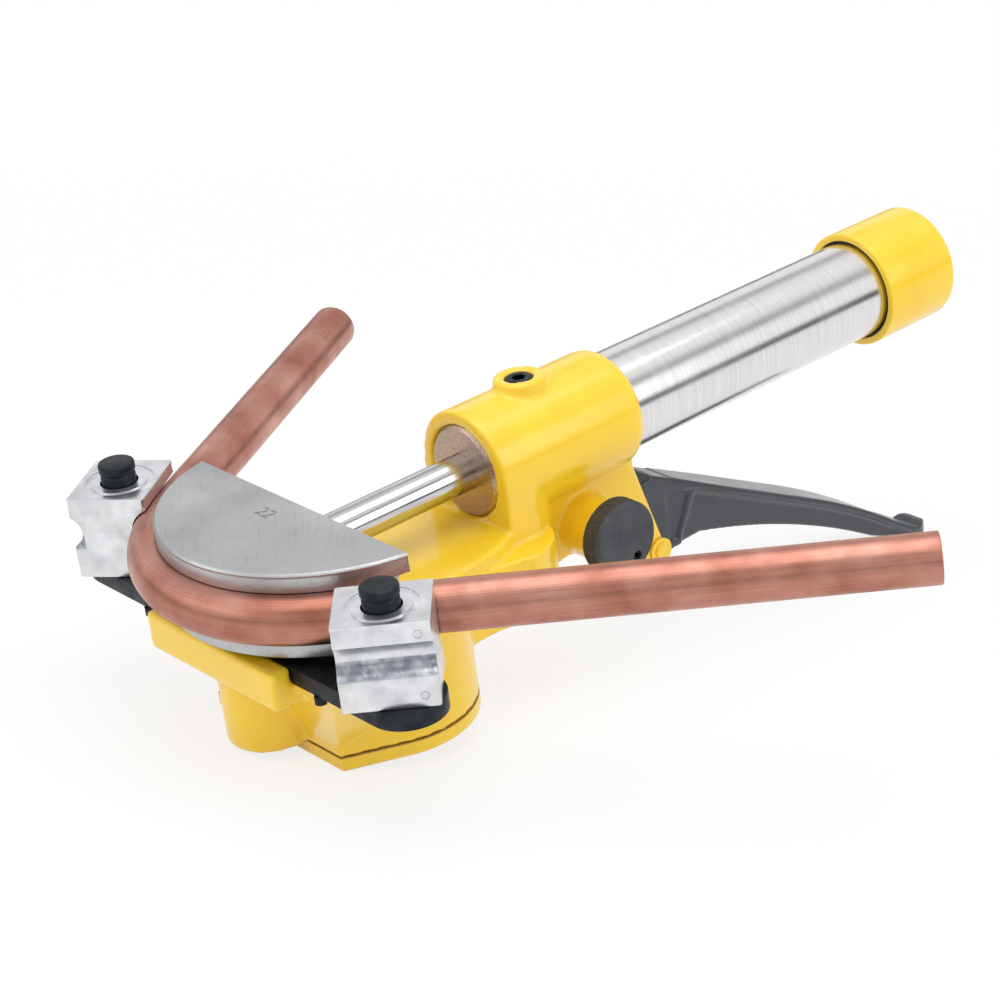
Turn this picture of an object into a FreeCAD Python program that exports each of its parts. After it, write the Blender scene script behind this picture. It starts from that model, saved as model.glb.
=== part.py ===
import FreeCAD, Part
import os
import re
import Sketcher

# Hydraulic pipe bender for 22 mm copper tube, in millimetres.
# Tool frame: +Y runs along the ram from the former to the rear cap, +Z is square to the
# bending plane, x = 0 is the plane of symmetry and the ram axis is x = z = 0.
# Every piece is drawn in that frame and then set on its stand: tipped about X by
# stand_tilt, so that the base and the tip of the pump lever share one floor.
# The row's origin is the middle of the flat underside of the base cover.

sizes = {
    # stand
    "stand_tilt": 9.0,
    # copper tube in the tool
    "tube_radius": 11.0,
    "tube_wall": 1.1,
    "groove_sink": 1.2,
    "spring_back": 11.4,
    "right_angle": 41.3,
    "left_angle": 32.1,
    "right_length": 250.8,
    "left_length": 210.5,
    # bending former
    "former_centre": -21.2,
    "former_radius": 75.0,
    "former_half": 19.6,
    "former_back": -35.65,
    "former_edge": 1.0,
    "groove_play": 0.3,
    "socket_depth": 20.0,
    "catch_radius": 2.6,
    # running clearances
    "shaft_play": 0.05,
    "seat_play": 0.1,
    "body_gap": 0.3,
    # support bar
    "bar_top": -22.0,
    "bar_thick": 8.0,
    "bar_half": 17.0,
    "bar_end": 6.8,
    "bar_shift": 0.5,
    "bar_screw_x": 30.0,
    "bar_screw_back": 7.3,
    "bar_screw_radius": 3.0,
    "bar_screw_grip": 8.0,
    "lock_inset": 10.0,
    "lock_in": 1.8,
    "lock_radius": 2.9,
    "lock_deep": 4.0,
    # guide blocks and their pins
    "pin_out": 24.34,
    "pin_along": 28.29,
    "pin_radius": 8.6,
    "pin_neck": 7.5,
    "pin_head": 9.0,
    "pin_top": 25.4,
    "pin_tail": 7.0,
    "block_width": 36.0,
    "block_length": 40.0,
    "block_height": 38.0,
    "block_groove_out": 22.0,
    "small_groove_radius": 8.0,
    "small_groove_out": 21.0,
    "block_recess_radius": 15.5,
    "block_recess": 1.0,
    "left_block_angle": 36.5,
    # ram
    "rod_radius": 8.85,
    "piston_front": 118.0,
    "piston_length": 22.0,
    "coil_wire": 3.0,
    "ram_travel": 78.0,
    # pressure cylinder, oil tube and rear cap
    "cylinder_wall": 4.0,
    "tube_outer_radius": 24.0,
    "tube_outer_wall": 2.0,
    "oil_gap": 2.0,
    "cap_wall": 4.6,
    "cap_front": 301.4,
    "cap_rear": 347.2,
    "cap_floor": 12.0,
    "cap_lip_gap": 1.2,
    "cap_lip_depth": 4.0,
    "cap_round": 3.0,
    # boss of the casting and the bronze gland
    "boss_wall": 4.6,
    "boss_front": 52.4,
    "boss_rear": 139.5,
    "boss_round": 8.0,
    "gland_step": 1.7,
    "gland_length": 28.0,
    "tube_seat": 17.0,
    # base drum and cover
    "drum_centre": -19.0,
    "drum_round": 40.0,
    "drum_round_x": 21.7,
    "drum_round_y": -20.8,
    "flank_turn": 25.4,
    "drum_top": -24.0,
    "drum_front": -65.0,
    "drum_corner": 45.0,
    "base_seam": -75.0,
    "base_bottom": -82.0,
    "gasket_thick": 0.5,
    "cavity_radius": 33.0,
    "cavity_roof": -40.0,
    "cover_screw_x": 39.0,
    "cover_screw_front": -56.5,
    "cover_screw_rear": 4.0,
    "cover_screw_radius": 2.5,
    "cover_screw_head": 3.0,
    "cover_screw_length": 15.0,
    "cover_screw_key": 1.6,
    "cover_recess": 3.2,
    "cover_edge": 1.0,
    "screw_room": 2.8,
    # front of the casting
    "lip_half": 46.0,
    "lip_thick": 10.2,
    "lip_bottom": -40.0,
    "wing_half": 72.0,
    "foot_radius": 20.4,
    "foot_y": -67.2,
    "foot_bottom": -76.4,
    # arm and column of the casting
    "arm_half": 38.5,
    "arm_bottom": -60.0,
    "arm_top": -22.0,
    "column_side": 0.4,
    "web_half": 14.0,
    "column_rear": 158.0,
    "column_bottom": -84.0,
    # release valve
    "valve_y": 105.3,
    "valve_z": -42.9,
    "valve_boss_radius": 14.5,
    "valve_boss_out": 32.0,
    "spindle_radius": 4.0,
    "knob_radius": 18.0,
    "knob_gap": 0.5,
    "knob_width": 11.5,
    "knob_screw_back": 5.4,
    "knob_screw_down": 9.9,
    "knob_screw_radius": 2.4,
    "knob_screw_deep": 4.0,
    # filling plug
    "fill_y": 89.7,
    "fill_boss_radius": 12.0,
    "fill_rise": 4.4,
    "fill_hole": 6.6,
    # pump
    "plunger_radius": 5.0,
    "pump_z": -48.0,
    "pump_stroke": 9.9,
    "pump_wire": 1.5,
    "spring_room": 16.0,
    "collar_thick": 4.0,
    "slot_half": 10.4,
    "slot_front": 128.0,
    "check_y": 88.0,
    "check_radius": 5.0,
    "check_depth": 15.0,
    "check_cap": 4.0,
    "check_wire": 0.8,
    "pivot_y": 150.0,
    "pivot_z": -76.0,
    "pivot_radius": 4.0,
    "eye_radius": 9.0,
    "nose_radius": 6.0,
    "lever_half": 10.0,
    "lever_web": 8.6,
    "grip_half": 13.5,
    "flange_thick": 3.5,
    "lever_tip": 344.0,
}

# Places worked out from the sizes above.
places = {
    "stand_y": "-(drum_centre * cos(stand_tilt) - base_bottom * sin(stand_tilt))",
    "stand_z": "-(drum_centre * sin(stand_tilt) + base_bottom * cos(stand_tilt))",
    "stand_place": "placement(vector(0; stand_y; stand_z); rotation(vector(1; 0; 0); stand_tilt))",
    "bend_radius": "former_radius + groove_sink",
    "left_bend": "bend_radius + spring_back",
    "groove_radius": "tube_radius + groove_play",
    "tube_bore": "tube_radius - tube_wall",
    "left_centre": "former_centre + left_bend - bend_radius",
    "catch_y": "former_back - socket_depth / 2",
    "pin_x": "(bend_radius + pin_out) * cos(right_angle) + pin_along * sin(right_angle)",
    "pin_y": "former_centre - (bend_radius + pin_out) * sin(right_angle) + pin_along * cos(right_angle)",
    "bar_reach": "pin_x + bar_end",
    "bar_middle": "pin_y + bar_shift",
    "bar_screw_y": "bar_middle + bar_screw_back",
    "bar_floor": "bar_top - bar_thick",
    "bar_front": "bar_middle - bar_half",
    "bar_back": "bar_middle + bar_half",
    "lock_x": "wing_half - lock_inset",
    "lock_y": "bar_front + lock_in",
    "lip_front": "bar_front - lip_thick",
    "block_bottom": "bar_top + body_gap",
    "block_top": "block_bottom + block_height",
    "pin_low": "bar_floor - pin_tail",
    "pin_seat": "block_top - block_recess + body_gap",
    "pin_bore": "pin_radius + shaft_play",
    "slot_y_front": "bar_front - seat_play",
    "slot_y_back": "bar_back + seat_play",
    "cylinder_radius": "tube_outer_radius - tube_outer_wall - oil_gap",
    "gland_radius": "cylinder_radius + gland_step",
    "boss_radius": "tube_outer_radius + boss_wall",
    "column_half": "boss_radius + column_side",
    "fill_top": "boss_radius + fill_rise",
    "cap_radius": "tube_outer_radius + cap_wall",
    "gland_rear": "boss_front + gland_length",
    "cylinder_bore": "cylinder_radius - cylinder_wall",
    "cylinder_rear": "cap_rear - cap_floor",
    "tube_front": "boss_rear - tube_seat",
    "piston_rear": "piston_front + piston_length",
    "valve_inner": "web_half - 6",
    "knob_in": "valve_boss_out + knob_gap",
    "knob_out": "knob_in + knob_width",
    "knob_screw_y": "valve_y + knob_screw_back",
    "knob_screw_z": "valve_z - knob_screw_down",
    "lever_stand": "(base_bottom * cos(stand_tilt) + (drum_front - lever_tip) * sin(stand_tilt))"
                   " / cos(stand_tilt)",
    "plunger_rear": "pivot_y - 4 - nose_radius - body_gap",
    "spring_seat": "slot_front - spring_room",
    "flank_x": "drum_round_x + drum_round * cos(flank_turn)",
    "flank_y": "drum_round_y - drum_round * sin(flank_turn)",
    "drum_rear": "drum_round_y + drum_round",
}

doc = FreeCAD.newDocument("pipe_bender")
sheet = doc.addObject("Spreadsheet::Sheet", "Sizes")
for row, (name, value) in enumerate(sizes.items(), start=1):
    sheet.set("A%d" % row, str(value))
    sheet.setAlias("A%d" % row, name)
for row, (name, formula) in enumerate(places.items(), start=1):
    sheet.set("B%d" % row, "=" + formula)
    sheet.setAlias("B%d" % row, name)
doc.recompute()


def bound(text):
    """A formula as other objects write it: each size is read from the sheet."""
    return re.sub(r"[a-z]+(?:_[a-z]+)+", r"Sizes.\g<0>", text)


def number(text):
    """The present value of a formula, worked out by the sheet itself."""
    sheet.set("D1", "=" + text)
    sheet.recompute()
    return float(sheet.get("D1"))


def tie(item, **formulas):
    for name, formula in formulas.items():
        item.setExpression(name.replace("__", "."), bound(formula))


def seat(item, label, extra=""):
    """Gives a finished sub-part its name and sets it on the stand."""
    item.Label = label
    tie(item, Placement="stand_place" + (" * " + extra if extra else ""))
    subparts.append(item)
    return item


subparts = []


class Piece:
    """A PartDesign body whose sketches are drawn in the tool frame."""

    def __init__(self, name):
        self.body = doc.addObject("PartDesign::Body", name + "_body")
        self.name = name
        self.count = 0

    def plane(self, role):
        return [item for item in self.body.Origin.OriginFeatures if item.Role == role][0]

    def sketch(self, role, level="0", shift=("0", "0"), turn="0"):
        self.count += 1
        sketch = self.body.newObject("Sketcher::SketchObject", "%s_s%d" % (self.name, self.count))
        sketch.AttachmentSupport = [(self.plane(role), "")]
        sketch.MapMode = "FlatFace"
        lift = "-(" + level + ")" if role == "XZ_Plane" else level
        sketch.setExpression(
            "AttachmentOffset",
            bound("placement(vector(%s; %s; %s); rotation(vector(0; 0; 1); %s))"
                  % (shift[0], shift[1], lift, turn)))
        return sketch

    def feature(self, kind, profile, **formulas):
        self.count += 1
        item = self.body.newObject("PartDesign::" + kind, "%s_f%d" % (self.name, self.count))
        item.Profile = profile
        tie(item, **formulas)
        profile.Visibility = False
        self.body.Tip = item
        return item

    def pad(self, profile, length, midplane=False):
        item = self.feature("Pad", profile, Length=length)
        item.Midplane = midplane
        return item

    def pocket(self, profile, length, midplane=False, reverse=False):
        item = self.feature("Pocket", profile, Length=length)
        item.Midplane = midplane
        item.Reversed = reverse
        return item

    def turned(self, profile, axis, cut=False):
        item = self.feature("Groove" if cut else "Revolution", profile)
        item.ReferenceAxis = (profile, [axis])
        item.Angle = 360
        return item

    def edges(self, wanted):
        doc.recompute()
        return ["Edge%d" % (index + 1) for index, edge in enumerate(self.body.Tip.Shape.Edges)
                if wanted(edge)]

    def dress(self, kind, wanted, size):
        """Fillet or Chamfer on the edges that the test picks."""
        names = self.edges(wanted)
        if not names:
            raise RuntimeError("no edge found for %s on %s" % (kind, self.name))
        self.count += 1
        base = self.body.Tip
        item = self.body.newObject("PartDesign::" + kind, "%s_f%d" % (self.name, self.count))
        item.Base = (base, names)
        if kind == "Fillet":
            tie(item, Radius=size)
        else:
            tie(item, Size=size)
        self.body.Tip = item
        return item

    def done(self, label, extra=""):
        return seat(self.body, label, extra)


def place_point(sketch, line, end, point):
    """Ties one end of a line or arc to its two formulas."""
    index = sketch.addConstraint(Sketcher.Constraint("DistanceX", -1, 1, line, end, number(point[0])))
    sketch.setExpression("Constraints[%d]" % index, bound(point[0]))
    index = sketch.addConstraint(Sketcher.Constraint("DistanceY", -1, 1, line, end, number(point[1])))
    sketch.setExpression("Constraints[%d]" % index, bound(point[1]))


def outline(sketch, points):
    """A closed outline. A point may carry a third formula: the radius of the arc that leads
    to the next point, positive when it turns left and negative when it turns right. A fourth
    entry, "far", asks for the longer of the two such arcs."""
    spots = [FreeCAD.Vector(number(point[0]), number(point[1]), 0) for point in points]
    total = len(points)
    ends = []
    for index, point in enumerate(points):
        start = spots[index]
        end = spots[(index + 1) % total]
        if len(point) == 2:
            sketch.addGeometry(Part.LineSegment(start, end), False)
            ends.append((1, 2))
            continue
        radius = number(point[2])
        chord = end - start
        turn = 1 if radius > 0 else -1
        far = -1 if len(point) == 4 else 1
        side = FreeCAD.Vector(-chord.y, chord.x, 0).normalize() * turn
        rise = max(radius * radius - chord.Length ** 2 / 4, 0) ** 0.5
        crown = start + chord * 0.5 + side * (far * rise - abs(radius))
        if turn > 0:
            sketch.addGeometry(Part.Arc(start, crown, end), False)
            ends.append((1, 2))
        else:
            sketch.addGeometry(Part.Arc(end, crown, start), False)
            ends.append((2, 1))
    for index, point in enumerate(points):
        before = (index - 1) % total
        place_point(sketch, index, ends[index][0], point)
        sketch.addConstraint(Sketcher.Constraint(
            "Coincident", before, ends[before][1], index, ends[index][0]))
        if len(point) > 2:
            size = sketch.addConstraint(
                Sketcher.Constraint("Radius", index, abs(number(point[2]))))
            sketch.setExpression("Constraints[%d]" % size, bound("abs(%s)" % point[2]))
    return sketch


def circle(sketch, x, y, radius):
    centre = FreeCAD.Vector(number(x), number(y), 0)
    line = sketch.addGeometry(Part.Circle(centre, FreeCAD.Vector(0, 0, 1), number(radius)), False)
    size = sketch.addConstraint(Sketcher.Constraint("Radius", line, number(radius)))
    sketch.setExpression("Constraints[%d]" % size, bound(radius))
    place_point(sketch, line, 3, (x, y))
    return sketch


def mirrored(points):
    """The right half of an outline, from front to rear, with its mirror image added."""
    left = []
    for index in range(len(points) - 1, -1, -1):
        point = points[index]
        bend = points[index - 1][2:] if index else ()
        left.append(("-(%s)" % point[0], point[1]) + tuple(bend))
    return list(points) + left


def turned_piece(name, label, profile, axis="Y", at=("0", "0", "0")):
    """A turned piece. Each profile point is (along the axis, radius)."""
    piece = Piece(name)
    if axis == "Y":
        sketch = piece.sketch("XY_Plane", at[2], (at[0], "0"))
        points = [(point[1], point[0]) + tuple(point[2:]) for point in profile]
        outline(sketch, points)
        piece.turned(sketch, "V_Axis")
    elif axis == "X":
        sketch = piece.sketch("XY_Plane", at[2], ("0", at[1]))
        outline(sketch, profile)
        piece.turned(sketch, "H_Axis")
    else:
        sketch = piece.sketch("XZ_Plane", at[1], (at[0], "0"))
        points = [(point[1], point[0]) + tuple(point[2:]) for point in profile]
        outline(sketch, points)
        piece.turned(sketch, "V_Axis")
    return piece if label is None else piece.done(label)


def coil_piece(name, label, axis, at, inner, wire, start, length, turns):
    """A spring of square wire: a coil of the given inner radius between start and length."""
    piece = Piece(name)
    across = ("-(%s)" % inner, "-(%s) - %s" % (inner, wire)) if axis == "H_Axis" else (
        inner, "%s + %s" % (inner, wire))
    corners = [(across[0], start), (across[1], start), (across[1], start + " + " + wire),
               (across[0], start + " + " + wire)]
    if axis == "H_Axis":
        sketch = piece.sketch("XY_Plane", at[2], ("0", at[1]))
        outline(sketch, [(along, out) for out, along in corners])
    else:
        sketch = piece.sketch("XY_Plane" if axis == "V_Axis" else "XZ_Plane", at[2] if axis == "V_Axis" else at[1],
                              (at[0], "0"))
        outline(sketch, corners)
    rise = "(%s - %s)" % (length, wire)
    coil = piece.feature("AdditiveHelix", sketch, Pitch="%s / %s" % (rise, turns), Height=rise)
    coil.ReferenceAxis = (sketch, [axis if axis != "Z" else "V_Axis"])
    coil.Mode = 0
    return piece.done(label)


def primitive(kind, name, place="placement(vector(0; 0; 0); rotation(vector(0; 0; 1); 0))", **formulas):
    item = doc.addObject("Part::" + kind, name)
    tie(item, Placement=place, **formulas)
    return item


def spot(x, y, z, axis="vector(0; 0; 1)", angle="0"):
    return "placement(vector(%s; %s; %s); rotation(%s; %s))" % (x, y, z, axis, angle)


def fuse(name, items):
    item = doc.addObject("Part::MultiFuse", name)
    item.Shapes = items
    return item


def cut(name, base, tool):
    item = doc.addObject("Part::Cut", name)
    item.Base = base
    item.Tool = tool
    return item


# Bent copper tube: two straight legs and the bend, which leaves the former's groove a
# little on the left, so that side has a wider arc.
def tube_run(name, radius, extra):
    right_foot = spot("bend_radius * cos(right_angle)",
                      "former_centre - bend_radius * sin(right_angle)", "0")
    left_foot = spot("-left_bend * cos(left_angle)",
                     "left_centre - left_bend * sin(left_angle)", "0")
    right_leg = primitive(
        "Cylinder", name + "_right",
        right_foot + " * " + spot("-%s * sin(right_angle)" % extra,
                                  "-%s * cos(right_angle)" % extra, "0")
        + " * placement(vector(0; 0; 0); rotation(vector(0; 0; 1); -right_angle))"
        + " * placement(vector(0; 0; 0); rotation(vector(1; 0; 0); -90))",
        Radius=radius, Height="right_length + 2 * " + extra)
    left_leg = primitive(
        "Cylinder", name + "_left",
        left_foot + " * placement(vector(0; 0; 0); rotation(vector(0; 0; 1); left_angle))"
        + " * placement(vector(0; 0; 0); rotation(vector(1; 0; 0); -90))",
        Radius=radius, Height="left_length + " + extra)
    right_bend = primitive(
        "Torus", name + "_right_bend",
        spot("0", "former_centre", "0", "vector(0; 0; 1)", "-90"),
        Radius1="bend_radius", Radius2=radius, Angle3="90 - right_angle")
    left_bend = primitive(
        "Torus", name + "_left_bend",
        spot("0", "left_centre", "0", "vector(0; 0; 1)", "left_angle - 180"),
        Radius1="left_bend", Radius2=radius, Angle3="90 - left_angle")
    return fuse(name, [right_leg, right_bend, left_bend, left_leg])


tube_skin = tube_run("tube_skin", "tube_radius", "0")
tube_hole = tube_run("tube_hole", "tube_bore", "0")
seat(cut("tube_cut", tube_skin, tube_hole), "workpiece_tube")


# Bending former: a turned disc with a half-round groove, cut back to less than half.
former = Piece("former")
sketch = former.sketch("XZ_Plane", "former_centre")
groove_edge = "sqrt(groove_radius ^ 2 - (bend_radius - former_radius) ^ 2)"
outline(sketch, [
    ("0", "-former_half"),
    ("former_radius - former_edge", "-former_half"),
    ("former_radius", "-former_half + former_edge"),
    ("former_radius", "-" + groove_edge, "-groove_radius"),
    ("former_radius", groove_edge),
    ("former_radius", "former_half - former_edge"),
    ("former_radius - former_edge", "former_half"),
    ("0", "former_half"),
])
former.turned(sketch, "V_Axis")
sketch = former.sketch("XY_Plane", "0")
outline(sketch, [
    ("-2 * former_radius", "former_back"),
    ("2 * former_radius", "former_back"),
    ("2 * former_radius", "former_back + 3 * former_radius"),
    ("-2 * former_radius", "former_back + 3 * former_radius"),
])
former.pocket(sketch, "3 * former_half", midplane=True)
sketch = former.sketch("XZ_Plane", "former_back")
circle(sketch, "0", "0", "rod_radius + seat_play")
former.pocket(sketch, "socket_depth", reverse=True)
sketch = circle(former.sketch("XY_Plane", "-former_half"), "0", "catch_y", "catch_radius")
former.pocket(sketch, "former_half - rod_radius + 1", reverse=True)
former.done("bending_former")


# Support bar with a round end and a pin hole at each side.
bar = Piece("bar")
sketch = bar.sketch("XY_Plane", "bar_floor")
outline(sketch, [
    ("-bar_reach", "bar_middle - bar_half"),
    ("bar_reach", "bar_middle - bar_half", "bar_half"),
    ("bar_reach + bar_half", "bar_middle", "bar_half"),
    ("bar_reach", "bar_middle + bar_half"),
    ("-bar_reach", "bar_middle + bar_half", "bar_half"),
    ("-bar_reach - bar_half", "bar_middle", "bar_half"),
])
bar.pad(sketch, "bar_thick")
sketch = bar.sketch("XY_Plane", "bar_top")
circle(sketch, "pin_x", "pin_y", "pin_bore")
circle(sketch, "-pin_x", "pin_y", "pin_bore")
for side in ("", "-"):
    circle(sketch, side + "bar_screw_x", "bar_screw_y", "bar_screw_radius + seat_play")
bar.pocket(sketch, "2 * bar_thick")
sketch = bar.sketch("XY_Plane", "bar_top")
for side in ("", "-"):
    circle(sketch, side + "bar_screw_x", "bar_screw_y", "2 * bar_screw_radius")
bar.pocket(sketch, "0.5 * bar_thick")
bar.done("support_bar")


def screw_set(name, label, spots, head_radius, head_high, shank_radius, shank_long, key, turned_over=False):
    """Socket-head screws, heads up unless turned over, with the shank below the head."""
    screws = []
    flip = spot("0", "0", "0", "vector(1; 0; 0)", "180" if turned_over else "0")
    for index, (x, y, z) in enumerate(spots):
        place = spot(x, y, z) + " * " + flip
        head = primitive("Cylinder", "%s_head%d" % (name, index), place, Radius=head_radius, Height=head_high)
        shank = primitive("Cylinder", "%s_shank%d" % (name, index),
                          place + " * " + spot("0", "0", "-(%s)" % shank_long),
                          Radius=shank_radius, Height=shank_long)
        socket = primitive("Prism", "%s_key%d" % (name, index),
                           place + " * " + spot("0", "0", "0.4 * (%s)" % head_high),
                           Circumradius=key, Height=head_high)
        socket.Polygon = 6
        screws.append(cut("%s_cut%d" % (name, index), fuse("%s_solid%d" % (name, index), [head, shank]), socket))
    group = doc.addObject("Part::Compound", name)
    group.Links = screws
    return seat(group, label)


screw_set("bar_screw", "bar_screws",
          [(side + "bar_screw_x", "bar_screw_y", "bar_top - 0.5 * bar_thick") for side in ("", "-")],
          "2 * bar_screw_radius - seat_play", "0.4 * bar_thick", "bar_screw_radius",
          "0.5 * bar_thick + bar_screw_grip", "bar_screw_radius")


# Guide block, the same on both sides: a deep half-round groove that bears on the tube,
# a smaller one on the far side, and a shallow ring round the pin.
def guide_block(name, label, x, angle):
    piece = Piece(name)
    sketch = piece.sketch("XY_Plane", "block_bottom")
    outline(sketch, [
        ("-block_width / 2", "-block_length / 2"),
        ("block_width / 2", "-block_length / 2"),
        ("block_width / 2", "block_length / 2"),
        ("-block_width / 2", "block_length / 2"),
    ])
    piece.pad(sketch, "block_height")
    upright = number("block_height") - 1
    piece.dress("Fillet", lambda edge: abs(edge.Length) > upright and edge.tangentAt(0).z ** 2 > 0.9, "1.2")
    sketch = piece.sketch("XZ_Plane", "-block_length / 2 - 1")
    circle(sketch, "-block_groove_out", "0", "groove_radius + 0.1")
    circle(sketch, "small_groove_out", "0", "small_groove_radius")
    piece.pocket(sketch, "block_length + 2")
    sketch = piece.sketch("XY_Plane", "block_top")
    circle(sketch, "0", "0", "block_recess_radius")
    piece.pocket(sketch, "block_recess")
    sketch = piece.sketch("XY_Plane", "block_top")
    circle(sketch, "0", "0", "pin_bore")
    piece.pocket(sketch, "block_height + 5")
    place = spot(x, "pin_y", "0", "vector(0; 0; 1)", angle)
    return piece.done(label, place)


guide_block("block_right", "guide_block_right", "pin_x", "-right_angle")
guide_block("block_left", "guide_block_left", "-pin_x", "180 + left_block_angle")


# Guide pins: a finger head with a waist, and a plain shank through block and bar.
for side, x in (("right", "pin_x"), ("left", "-pin_x")):
    turned_piece("pin_" + side, "guide_pin_" + side, [
        ("pin_low", "0"),
        ("pin_low", "pin_radius - 1.5"),
        ("pin_low + 1.5", "pin_radius"),
        ("pin_seat", "pin_radius"),
        ("pin_seat", "pin_head"),
        ("block_top + 1.4", "pin_head"),
        ("block_top + 2.2", "pin_neck"),
        ("pin_top - 4.6", "pin_neck"),
        ("pin_top - 3.8", "pin_head"),
        ("pin_top - 0.8", "pin_head"),
        ("pin_top", "pin_head - 0.8"),
        ("pin_top", "0"),
    ], "Z", (x, "pin_y", "0"))


# Ram: rod with a spigot in the former, piston and its seal.
turned_piece("rod", "ram_rod", [
    ("former_back - socket_depth + 0.5", "0"),
    ("former_back - socket_depth + 0.5", "rod_radius - 1"),
    ("former_back - socket_depth + 1.5", "rod_radius"),
    ("catch_y - 2.4", "rod_radius"),
    ("catch_y - 1", "rod_radius - 1.6"),
    ("catch_y + 1", "rod_radius - 1.6"),
    ("catch_y + 2.4", "rod_radius"),
    ("piston_front", "rod_radius"),
    ("piston_front", "rod_radius - 2"),
    ("piston_rear + 6", "rod_radius - 2"),
    ("piston_rear + 6", "0"),
])
turned_piece("piston", "piston", [
    ("piston_front", "rod_radius - 2"),
    ("piston_front", "cylinder_bore - 1.5"),
    ("piston_front + 1.5", "cylinder_bore - shaft_play"),
    ("piston_front + 8", "cylinder_bore - shaft_play"),
    ("piston_front + 8", "cylinder_bore - 3.5"),
    ("piston_front + 13", "cylinder_bore - 3.5"),
    ("piston_front + 13", "cylinder_bore - shaft_play"),
    ("piston_rear", "cylinder_bore - shaft_play"),
    ("piston_rear", "rod_radius - 2"),
])
turned_piece("piston_ring", "piston_seal", [
    ("piston_front + 8", "cylinder_bore - 3.5"),
    ("piston_front + 8", "cylinder_bore - 0.4"),
    ("piston_front + 10.5", "cylinder_bore - shaft_play"),
    ("piston_front + 13", "cylinder_bore - 0.4"),
    ("piston_front + 13", "cylinder_bore - 3.5"),
])
nut = primitive("Prism", "nut_body",
                spot("0", "piston_rear", "0", "vector(1; 0; 0)", "-90"),
                Circumradius="rod_radius + 2", Height="5")
nut.Polygon = 6
nut_hole = primitive("Cylinder", "nut_hole",
                     spot("0", "piston_rear", "0", "vector(1; 0; 0)", "-90"),
                     Radius="rod_radius - 2", Height="5")
seat(cut("nut_cut", nut, nut_hole), "piston_nut")


# Return spring of the ram, a coil of square wire between the gland and the piston.
coil_piece("spring", "return_spring", "V_Axis", ("0", "0", "0"),
           "(rod_radius + cylinder_bore - coil_wire) / 2", "coil_wire",
           "gland_rear + body_gap", "piston_front - gland_rear - 2 * body_gap", "4")


# Pressure cylinder, oil tube round it and rear cap that closes both.
turned_piece("pressure", "pressure_cylinder", [
    ("gland_rear", "cylinder_bore"),
    ("gland_rear", "cylinder_radius"),
    ("cylinder_rear", "cylinder_radius"),
    ("cylinder_rear", "cylinder_bore"),
])
turned_piece("oil_tube", "reservoir_tube", [
    ("tube_front", "tube_outer_radius - tube_outer_wall"),
    ("tube_front", "tube_outer_radius"),
    ("cylinder_rear", "tube_outer_radius"),
    ("cylinder_rear", "tube_outer_radius - tube_outer_wall"),
])
turned_piece("cap", "rear_cap", [
    ("cap_front", "tube_outer_radius + cap_lip_gap"),
    ("cap_front", "cap_radius - 0.6"),
    ("cap_front + 0.6", "cap_radius"),
    ("cap_rear - cap_round", "cap_radius", "cap_round"),
    ("cap_rear", "cap_radius - cap_round"),
    ("cap_rear", "0"),
    ("cylinder_rear", "0"),
    ("cylinder_rear", "tube_outer_radius + shaft_play"),
    ("cap_front + cap_lip_depth", "tube_outer_radius + shaft_play"),
    ("cap_front + cap_lip_depth", "tube_outer_radius + cap_lip_gap"),
])


# Bronze gland in the front of the boss, with the wiper seal of the rod.
turned_piece("gland", "gland_bush", [
    ("boss_front - 0.3", "rod_radius + shaft_play"),
    ("boss_front - 0.3", "gland_radius - 1.4"),
    ("boss_front + 1.1", "gland_radius"),
    ("gland_rear", "gland_radius"),
    ("gland_rear", "rod_radius + shaft_play"),
    ("gland_rear - 14", "rod_radius + shaft_play"),
    ("gland_rear - 14", "rod_radius + 3.5"),
    ("gland_rear - 19", "rod_radius + 3.5"),
    ("gland_rear - 19", "rod_radius + shaft_play"),
])
turned_piece("wiper", "rod_seal", [
    ("gland_rear - 19", "rod_radius + 0.4"),
    ("gland_rear - 19", "rod_radius + 3.5"),
    ("gland_rear - 14", "rod_radius + 3.5"),
    ("gland_rear - 14", "rod_radius + 0.4"),
    ("gland_rear - 16.5", "rod_radius + shaft_play"),
])


# Base cover, its gasket and screws.
drum_line = [
    ("-drum_corner", "drum_front"),
    ("drum_corner", "drum_front"),
    ("flank_x", "flank_y", "drum_round"),
    ("drum_round_x", "drum_rear"),
    ("-drum_round_x", "drum_rear", "drum_round"),
    ("-(flank_x)", "flank_y"),
]
cover_spots = [(side + "cover_screw_x", along) for side in ("", "-")
               for along in ("cover_screw_front", "cover_screw_rear")]
cover = Piece("cover")
sketch = outline(cover.sketch("XY_Plane", "base_bottom"), drum_line)
cover.pad(sketch, "base_seam - gasket_thick - base_bottom")
sketch = cover.sketch("XY_Plane", "base_bottom")
for x, y in cover_spots:
    circle(sketch, x, y, "cover_screw_radius + seat_play")
cover.pocket(sketch, "cover_screw_length", reverse=True)
sketch = cover.sketch("XY_Plane", "base_bottom")
for x, y in cover_spots:
    circle(sketch, x, y, "2 * cover_screw_radius")
cover.pocket(sketch, "cover_recess", reverse=True)
level = number("base_bottom")
head = 3 * number("cover_screw_radius")
cover.dress("Chamfer", lambda edge: abs(edge.BoundBox.ZMax - level) < 0.01 and (
    edge.Curve.TypeId != "Part::GeomCircle" or edge.Curve.Radius > head), "cover_edge")
cover.done("base_cover")

gasket = Piece("gasket")
sketch = outline(gasket.sketch("XY_Plane", "base_seam - gasket_thick"), drum_line)
circle(sketch, "0", "drum_centre", "cavity_radius")
for x, y in cover_spots:
    circle(sketch, x, y, "cover_screw_radius + seat_play")
gasket.pad(sketch, "gasket_thick")
gasket.done("cover_gasket")

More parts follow.
